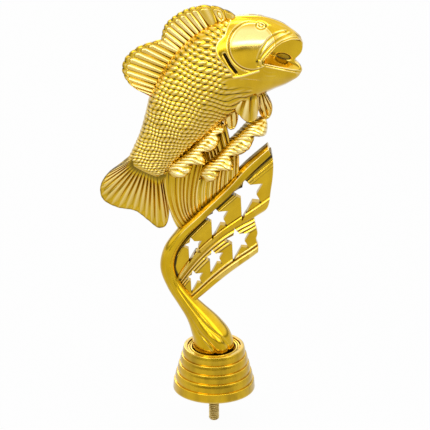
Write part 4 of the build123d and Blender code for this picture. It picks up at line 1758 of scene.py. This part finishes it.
    def half(self, points: Array, side: Side, name: str, shade: Array) -> Thing:
        """Close a near skin with a flat face on the mid plane, and turn it to its side.

        Args:
            points: rows of the near skin's points.
            side: which half.
            name: the piece's name.
            shade: painted shade or painted highlight for each of the skin's points.

        Returns:
            The new object.
        """
        rows, columns = points.shape[:2]
        skin = (points * (1, -side.value, 1)).reshape(-1, 3)
        rim = rim_order(rows, columns)
        back = np.arange(len(rim)) + len(skin)
        faces = grid_faces(rows, columns).tolist() + wall_faces(rim, back).tolist()
        faces.append(back.tolist())
        grime = np.r_[shade.reshape(-1), np.zeros(len(rim))]
        return place_mesh(name, np.vstack([skin, skin[rim] * (1, 0, 1)]), faces, 75, grime)

    def build(self) -> None:
        """Make and dress both halves of the body and of the head."""
        body, pits = self.body_skin()
        head, shade = self.head_skin()
        for side in (Side.NEAR, Side.FAR):
            word = side.name.lower()
            shell = self.half(body, side, f"{word}_body", pits)
            hand_over(shell, Slot.GOLD, self.gold, f"fish_{word}_half")
            hand_over(self.half(head, side, f"{word}_head", shade), Slot.GOLD, self.gold)


FINS = (
    Fan(
        name="front_back_fin",
        nodes=("spiny_dorsal_fin",),
        lines=(
            ((240, 27), (238, 20)), ((233, 28), (229, 13.8)), ((226, 29.5), (218.5, 9.6)),
            ((220, 32), (207, 7.8)), ((214, 35), (195, 9.2)), ((207, 38.5), (184, 13)),
            ((200, 42.5), (173.5, 19.5)), ((194, 47), (166.5, 26.5)), ((189, 52), (163.5, 34)),
            ((185, 57), (162.5, 42)),
        ),
        rays=11,
        margin=0.45 * MM,
        beats=(0, 0.18, 0.31, 0.46, 0.53, 0.60, 0.67, 0.735, 0.80, 0.865, 0.93, 1),
        oval=(0.245, 0.62),
    ),
    Fan(
        name="rear_back_fin",
        nodes=("soft_dorsal_fin",),
        lines=(
            ((188, 52), (163.5, 41)), ((184, 58), (153, 43.8)), ((180, 64.5), (142, 47.5)),
            ((176, 70), (132.5, 53.5)), ((172, 76), (126.5, 60.5)), ((169, 82), (124, 68.5)),
            ((166, 88), (125.5, 76)), ((163, 93), (130.5, 84)), ((161, 97.5), (138.5, 90)),
            ((158, 102), (150, 95.5)),
        ),
        rays=11,
        margin=0.65 * MM,
        beats=(0, 0.11, 0.21, 0.305, 0.395, 0.48, 0.56, 0.64, 0.72, 0.805, 0.895, 1),
    ),
    Fan(
        name="tail_fan",
        nodes=("tail_fin",),
        lines=(
            ((133, 155), (122.5, 163.3)), ((134, 157), (108, 173.5)), ((134, 159), (100.5, 186)),
            ((137, 161), (103, 199)), ((141, 163), (117, 207)), ((146, 165), (135, 210.5)),
            ((151, 167), (148, 220)), ((155, 168), (158, 227.5)), ((159, 169), (166, 225)),
            ((162, 170), (169.3, 213)), ((165, 171), (169, 197)), ((167, 171), (166, 183)),
        ),
        rays=22,
        root_half=3.6 * MM,
        edge_half=1.0 * MM,
        scallop=0.12 * MM,
        groove=0.42,
        plain=0.24,
        beats=(0, *np.linspace(0.06, 0.96, 21), 1),
        lean=1.15,
        roundness=0.9,
        specks=0.55,
        painted_highlight=0.35,
        rim_groove=0.0,
        rim_start=0.90,
        ending=0.09,
    ),
    Fan(
        name="near_side_fin",
        nodes=("near_pectoral_fin",),
        lines=(
            ((243, 90), (233.5, 99)), ((245, 90), (237, 109)), ((248, 90), (243.5, 115)),
            ((251, 90), (250.5, 118.5)), ((254, 90), (256.5, 113)), ((257, 91), (258.5, 101)),
        ),
        rays=3,
        beats=(0, 0.30, 0.55, 1),
        root_half=2.2 * MM,
        edge_half=3.2 * MM,
        depth=-4.6 * MM,
        scallop=0.9 * MM,
        margin=0.2 * MM,
        bulb=0.85,
        groove=0.55,
        specks=0.2,
        rim_groove=0.0,
        rim_start=0.97,
        lean=1.1,
        roundness=0.9,
    ),
    Fan(
        name="far_side_fin",
        nodes=("far_pectoral_fin",),
        lines=(
            ((257, 95), (257, 112)), ((259, 95), (262, 122)), ((261, 95), (268, 123)),
            ((263, 96), (272, 116)), ((265, 97), (271.5, 107)), ((266, 98), (267, 101)),
        ),
        rays=5,
        root_half=1.7 * MM,
        edge_half=1.6 * MM,
        depth=4.6 * MM,
        scallop=0.2 * MM,
        groove=0.5,
        bulb=0.7,
    ),
    Fan(
        name="belly_fin",
        nodes=("pelvic_fin",),
        lines=(
            ((222, 108), (221, 117)), ((226, 107), (226, 126)), ((230, 106), (232, 130)),
            ((234, 105), (237, 124)), ((238, 105), (238.5, 114)),
        ),
        rays=4,
        root_half=2.0 * MM,
        edge_half=2.0 * MM,
        scallop=0.3 * MM,
        groove=0.5,
        bulb=0.8,
    ),
)

CRESTS = (
    Crest(
        name="rear_foam",
        nodes=("rear_wave_crest",),
        path=(
            (-0.232, 0.950, 0.62), (-0.195, 0.968, 0.84), (-0.150, 0.990, 0.98),
            (-0.090, 1.038, 1.05), (-0.034, 1.112, 0.84), (0.012, 1.162, 0.76),
            (0.042, 1.204, 0.40),
        ),
        notches=(126.5, 111.5, 90.0),
    ),
    Crest(
        name="front_foam",
        nodes=("front_wave_crest",),
        path=(
            (-0.066, 0.916, 0.70), (-0.029, 0.948, 0.92), (0.039, 1.002, 1.02),
            (0.097, 1.078, 0.80), (0.146, 1.126, 0.86), (0.209, 1.186, 0.90),
            (0.250, 1.222, 0.50),
        ),
        notches=(127.0, 109.5, 85.5),
    ),
)

CURTAINS = (
    Curtain(
        name="rear_water",
        nodes=("rear_water_skirt",),
        top=((164, 170), (180, 166), (197, 160), (206, 152)),
        knee=((163, 206), (174, 207), (184, 205), (192, 198)),
        bottom=((183, 229), (188.5, 222), (194, 215.5), (199.5, 209)),
        flutes=8,
    ),
    Curtain(
        name="side_water",
        nodes=(),
        top=((167, 190), (169.5, 194), (172, 197)),
        knee=((168, 212), (171, 213), (175, 213)),
        bottom=((178.5, 228), (181, 227), (184, 225)),
        flutes=2,
        half=1.9 * MM,
    ),
    Curtain(
        name="middle_water",
        nodes=(),
        top=((196, 150), (208, 140), (218, 131), (226, 124)),
        knee=((200, 165), (212, 155), (222, 146), (230, 138)),
        bottom=((203, 176), (214, 166), (226, 156), (231, 148)),
        flutes=8,
        half=2.4 * MM,
        groove=0.4,
        # painted shade over the whole sheet
        grime=0.40,
    ),
    Curtain(
        name="front_water",
        nodes=("front_water_skirt",),
        top=((198, 178), (212, 172), (226, 162), (239, 148)),
        knee=((193, 196), (208, 188), (224, 178), (239, 164)),
        bottom=((198, 210), (212, 198), (226, 186), (239, 174)),
        flutes=9,
    ),
)


@dataclass
class Studio:
    """The pale floor, the soft lamps, the white world and the camera at the picture's angle."""

    elevation: float = 25.5
    distance: float = 6.0
    clip_end: float = 12.0
    sensor: float = 36.0
    picture: float = 430.0  # the picture's width and height in picture units
    floor_level: float = -18.2 * MM
    floor_half: float = 0.6
    floor_grey: float = 0.34
    to_eye: float = 0.97  # how plainly white the floor is to the eye
    to_mirrors: float = 0.66  # and in mirrors
    sky: tuple = (  # half the height of the way plus a half, and the grey there
        (0.0, 0.90), (0.43, 1.0), (0.485, 1.0), (0.505, 0.16), (0.535, 0.30), (0.60, 1.3),
        (1.0, 1.35),
    )
    lamps: tuple = (  # name, place, width and height, and watts
        ("key", (-0.7, -0.9, 0.9), (0.6, 0.6), 4.4),
        ("fill", (0.9, -0.6, 0.5), (0.5, 0.8), 2.2),
        ("top", (0.1, 0.2, 1.2), (0.8, 0.32), 4.8),
        ("front", (0.0, -1.2, 0.478), (1.0, 0.19), 2.2),
        ("rear", (-0.3, 1.0, 0.6), (0.4, 0.4), 2.0),
    )

    def floor_shader(self, tree: Tree) -> Wire:
        """Mix a plain white, for the eye and for mirrors, with a matt grey that takes a shadow.

        Args:
            tree: the nodes to add to.

        Returns:
            The shader.
        """
        rays = [
            add_node(tree, "ShaderNodeLightPath", {}, {}, kind)
            for kind in ("Is Camera Ray", "Is Glossy Ray", "Is Transmission Ray")
        ]
        plain = add_node(tree, "ShaderNodeEmission", {}, {"Color": grey(1), "Strength": 1.0})
        lit = add_node(tree, "ShaderNodeBsdfDiffuse", {}, {"Color": grey(self.floor_grey)})
        direct = rays[0] * self.to_eye + (rays[1] + rays[2]) * self.to_mirrors
        return add_node(tree, "ShaderNodeMixShader", {}, {0: direct, 1: lit, 2: plain})

    def floor(self) -> None:
        """Lay the floor."""
        size = self.floor_half
        corners = np.array([(-size, -size), (size, -size), (size, size), (-size, size)])
        points = np.column_stack([corners, np.full(4, self.floor_level)])
        floor = place_mesh("floor", points, [[0, 1, 2, 3]])
        floor.data.materials.append(finish_material("pale_floor", self.floor_shader))

    def sky_shader(self, tree: Tree) -> Wire:
        """White to the eye, and to mirrors a soft sky that is darker just above the horizon.

        Args:
            tree: the nodes to add to.

        Returns:
            The shader.
        """
        camera = add_node(tree, "ShaderNodeLightPath", {}, {}, "Is Camera Ray")
        white = add_node(tree, "ShaderNodeBackground", {}, {"Color": grey(1), "Strength": 1.0})
        way = add_node(tree, "ShaderNodeTexCoord", {}, {}, "Generated")
        height = add_node(tree, "ShaderNodeSeparateXYZ", {}, {"Vector": way}, "Z")
        stops = {"stops": [(place, grey(level)) for place, level in self.sky]}
        sky = add_node(tree, "ShaderNodeValToRGB", stops, {0: height * 0.5 + 0.5})
        soft = add_node(tree, "ShaderNodeBackground", {}, {"Color": sky, "Strength": 1.0})
        return add_node(tree, "ShaderNodeMixShader", {}, {0: camera, 1: soft, 2: white})

    def world(self) -> None:
        """Hang the sky."""
        world = bpy.data.worlds.new("studio")
        bpy.context.scene.world = world
        world.use_nodes = True
        fill_tree(world.node_tree, self.sky_shader, "ShaderNodeOutputWorld")

    def lamp(self, name: str, place: tuple, size: tuple[float, float], power: float) -> None:
        """Hang one soft box that faces the figure.

        Args:
            name: the lamp's name.
            place: where it hangs, in metres.
            size: its width and height.
            power: its power in watts.
        """
        light = bpy.data.lights.new(name, "AREA")
        light.shape = "RECTANGLE"
        light.size, light.size_y = size
        light.energy = power
        lamp = bpy.data.objects.new(name, light)
        lamp.location = place
        aim = Vector((0, 0, 0.1)) - Vector(place)
        lamp.rotation_euler = aim.to_track_quat("-Z", "Y").to_euler()
        bpy.context.scene.collection.objects.link(lamp)

    def camera(self) -> None:
        """Stand the camera where the picture was taken: far off, with a long lens."""
        data = bpy.data.cameras.new("camera")
        data.sensor_width = self.sensor
        data.lens = data.sensor_width * self.distance / (self.picture * UNIT_ACROSS)
        data.clip_end = self.clip_end
        camera = bpy.data.objects.new("camera", data)
        tilt, middle = math.radians(self.elevation), self.picture / 2
        x, z = (middle - AXIS_ACROSS) * UNIT_ACROSS, (SEAT_DOWN - middle) * UNIT_DOWN
        target = Vector((x, 0, z))
        away = Vector((0, -math.cos(tilt), math.sin(tilt)))
        camera.location = target + away * self.distance
        camera.rotation_euler = (target - camera.location).to_track_quat("-Z", "Y").to_euler()
        bpy.context.scene.collection.objects.link(camera)
        bpy.context.scene.camera = camera

    def build(self) -> None:
        """Set up everything that isn't the object."""
        self.floor()
        self.world()
        for lamp in self.lamps:
            self.lamp(*lamp)
        self.camera()
        bpy.context.scene.view_settings.view_transform = "Standard"


def main() -> None:
    """Build every piece in order and report each one."""
    logging.basicConfig(level=logging.INFO, format="%(name)s %(message)s")
    gold = PlatedGold().build()
    steel = ZincSteel().build()
    Studio().build()
    Base(PlatedGold(name="stained_gold", stained=0.75).build(), steel).build()
    Stem(PlatedGold(name="stem_gold", stained=0.45, coat=0.18).build()).build()
    Ribbon(gold).build()
    for piece in (*CURTAINS, *CRESTS, *FINS):
        piece.build(gold)
    Fish(gold).build()


if __name__ == "__main__":
    main()
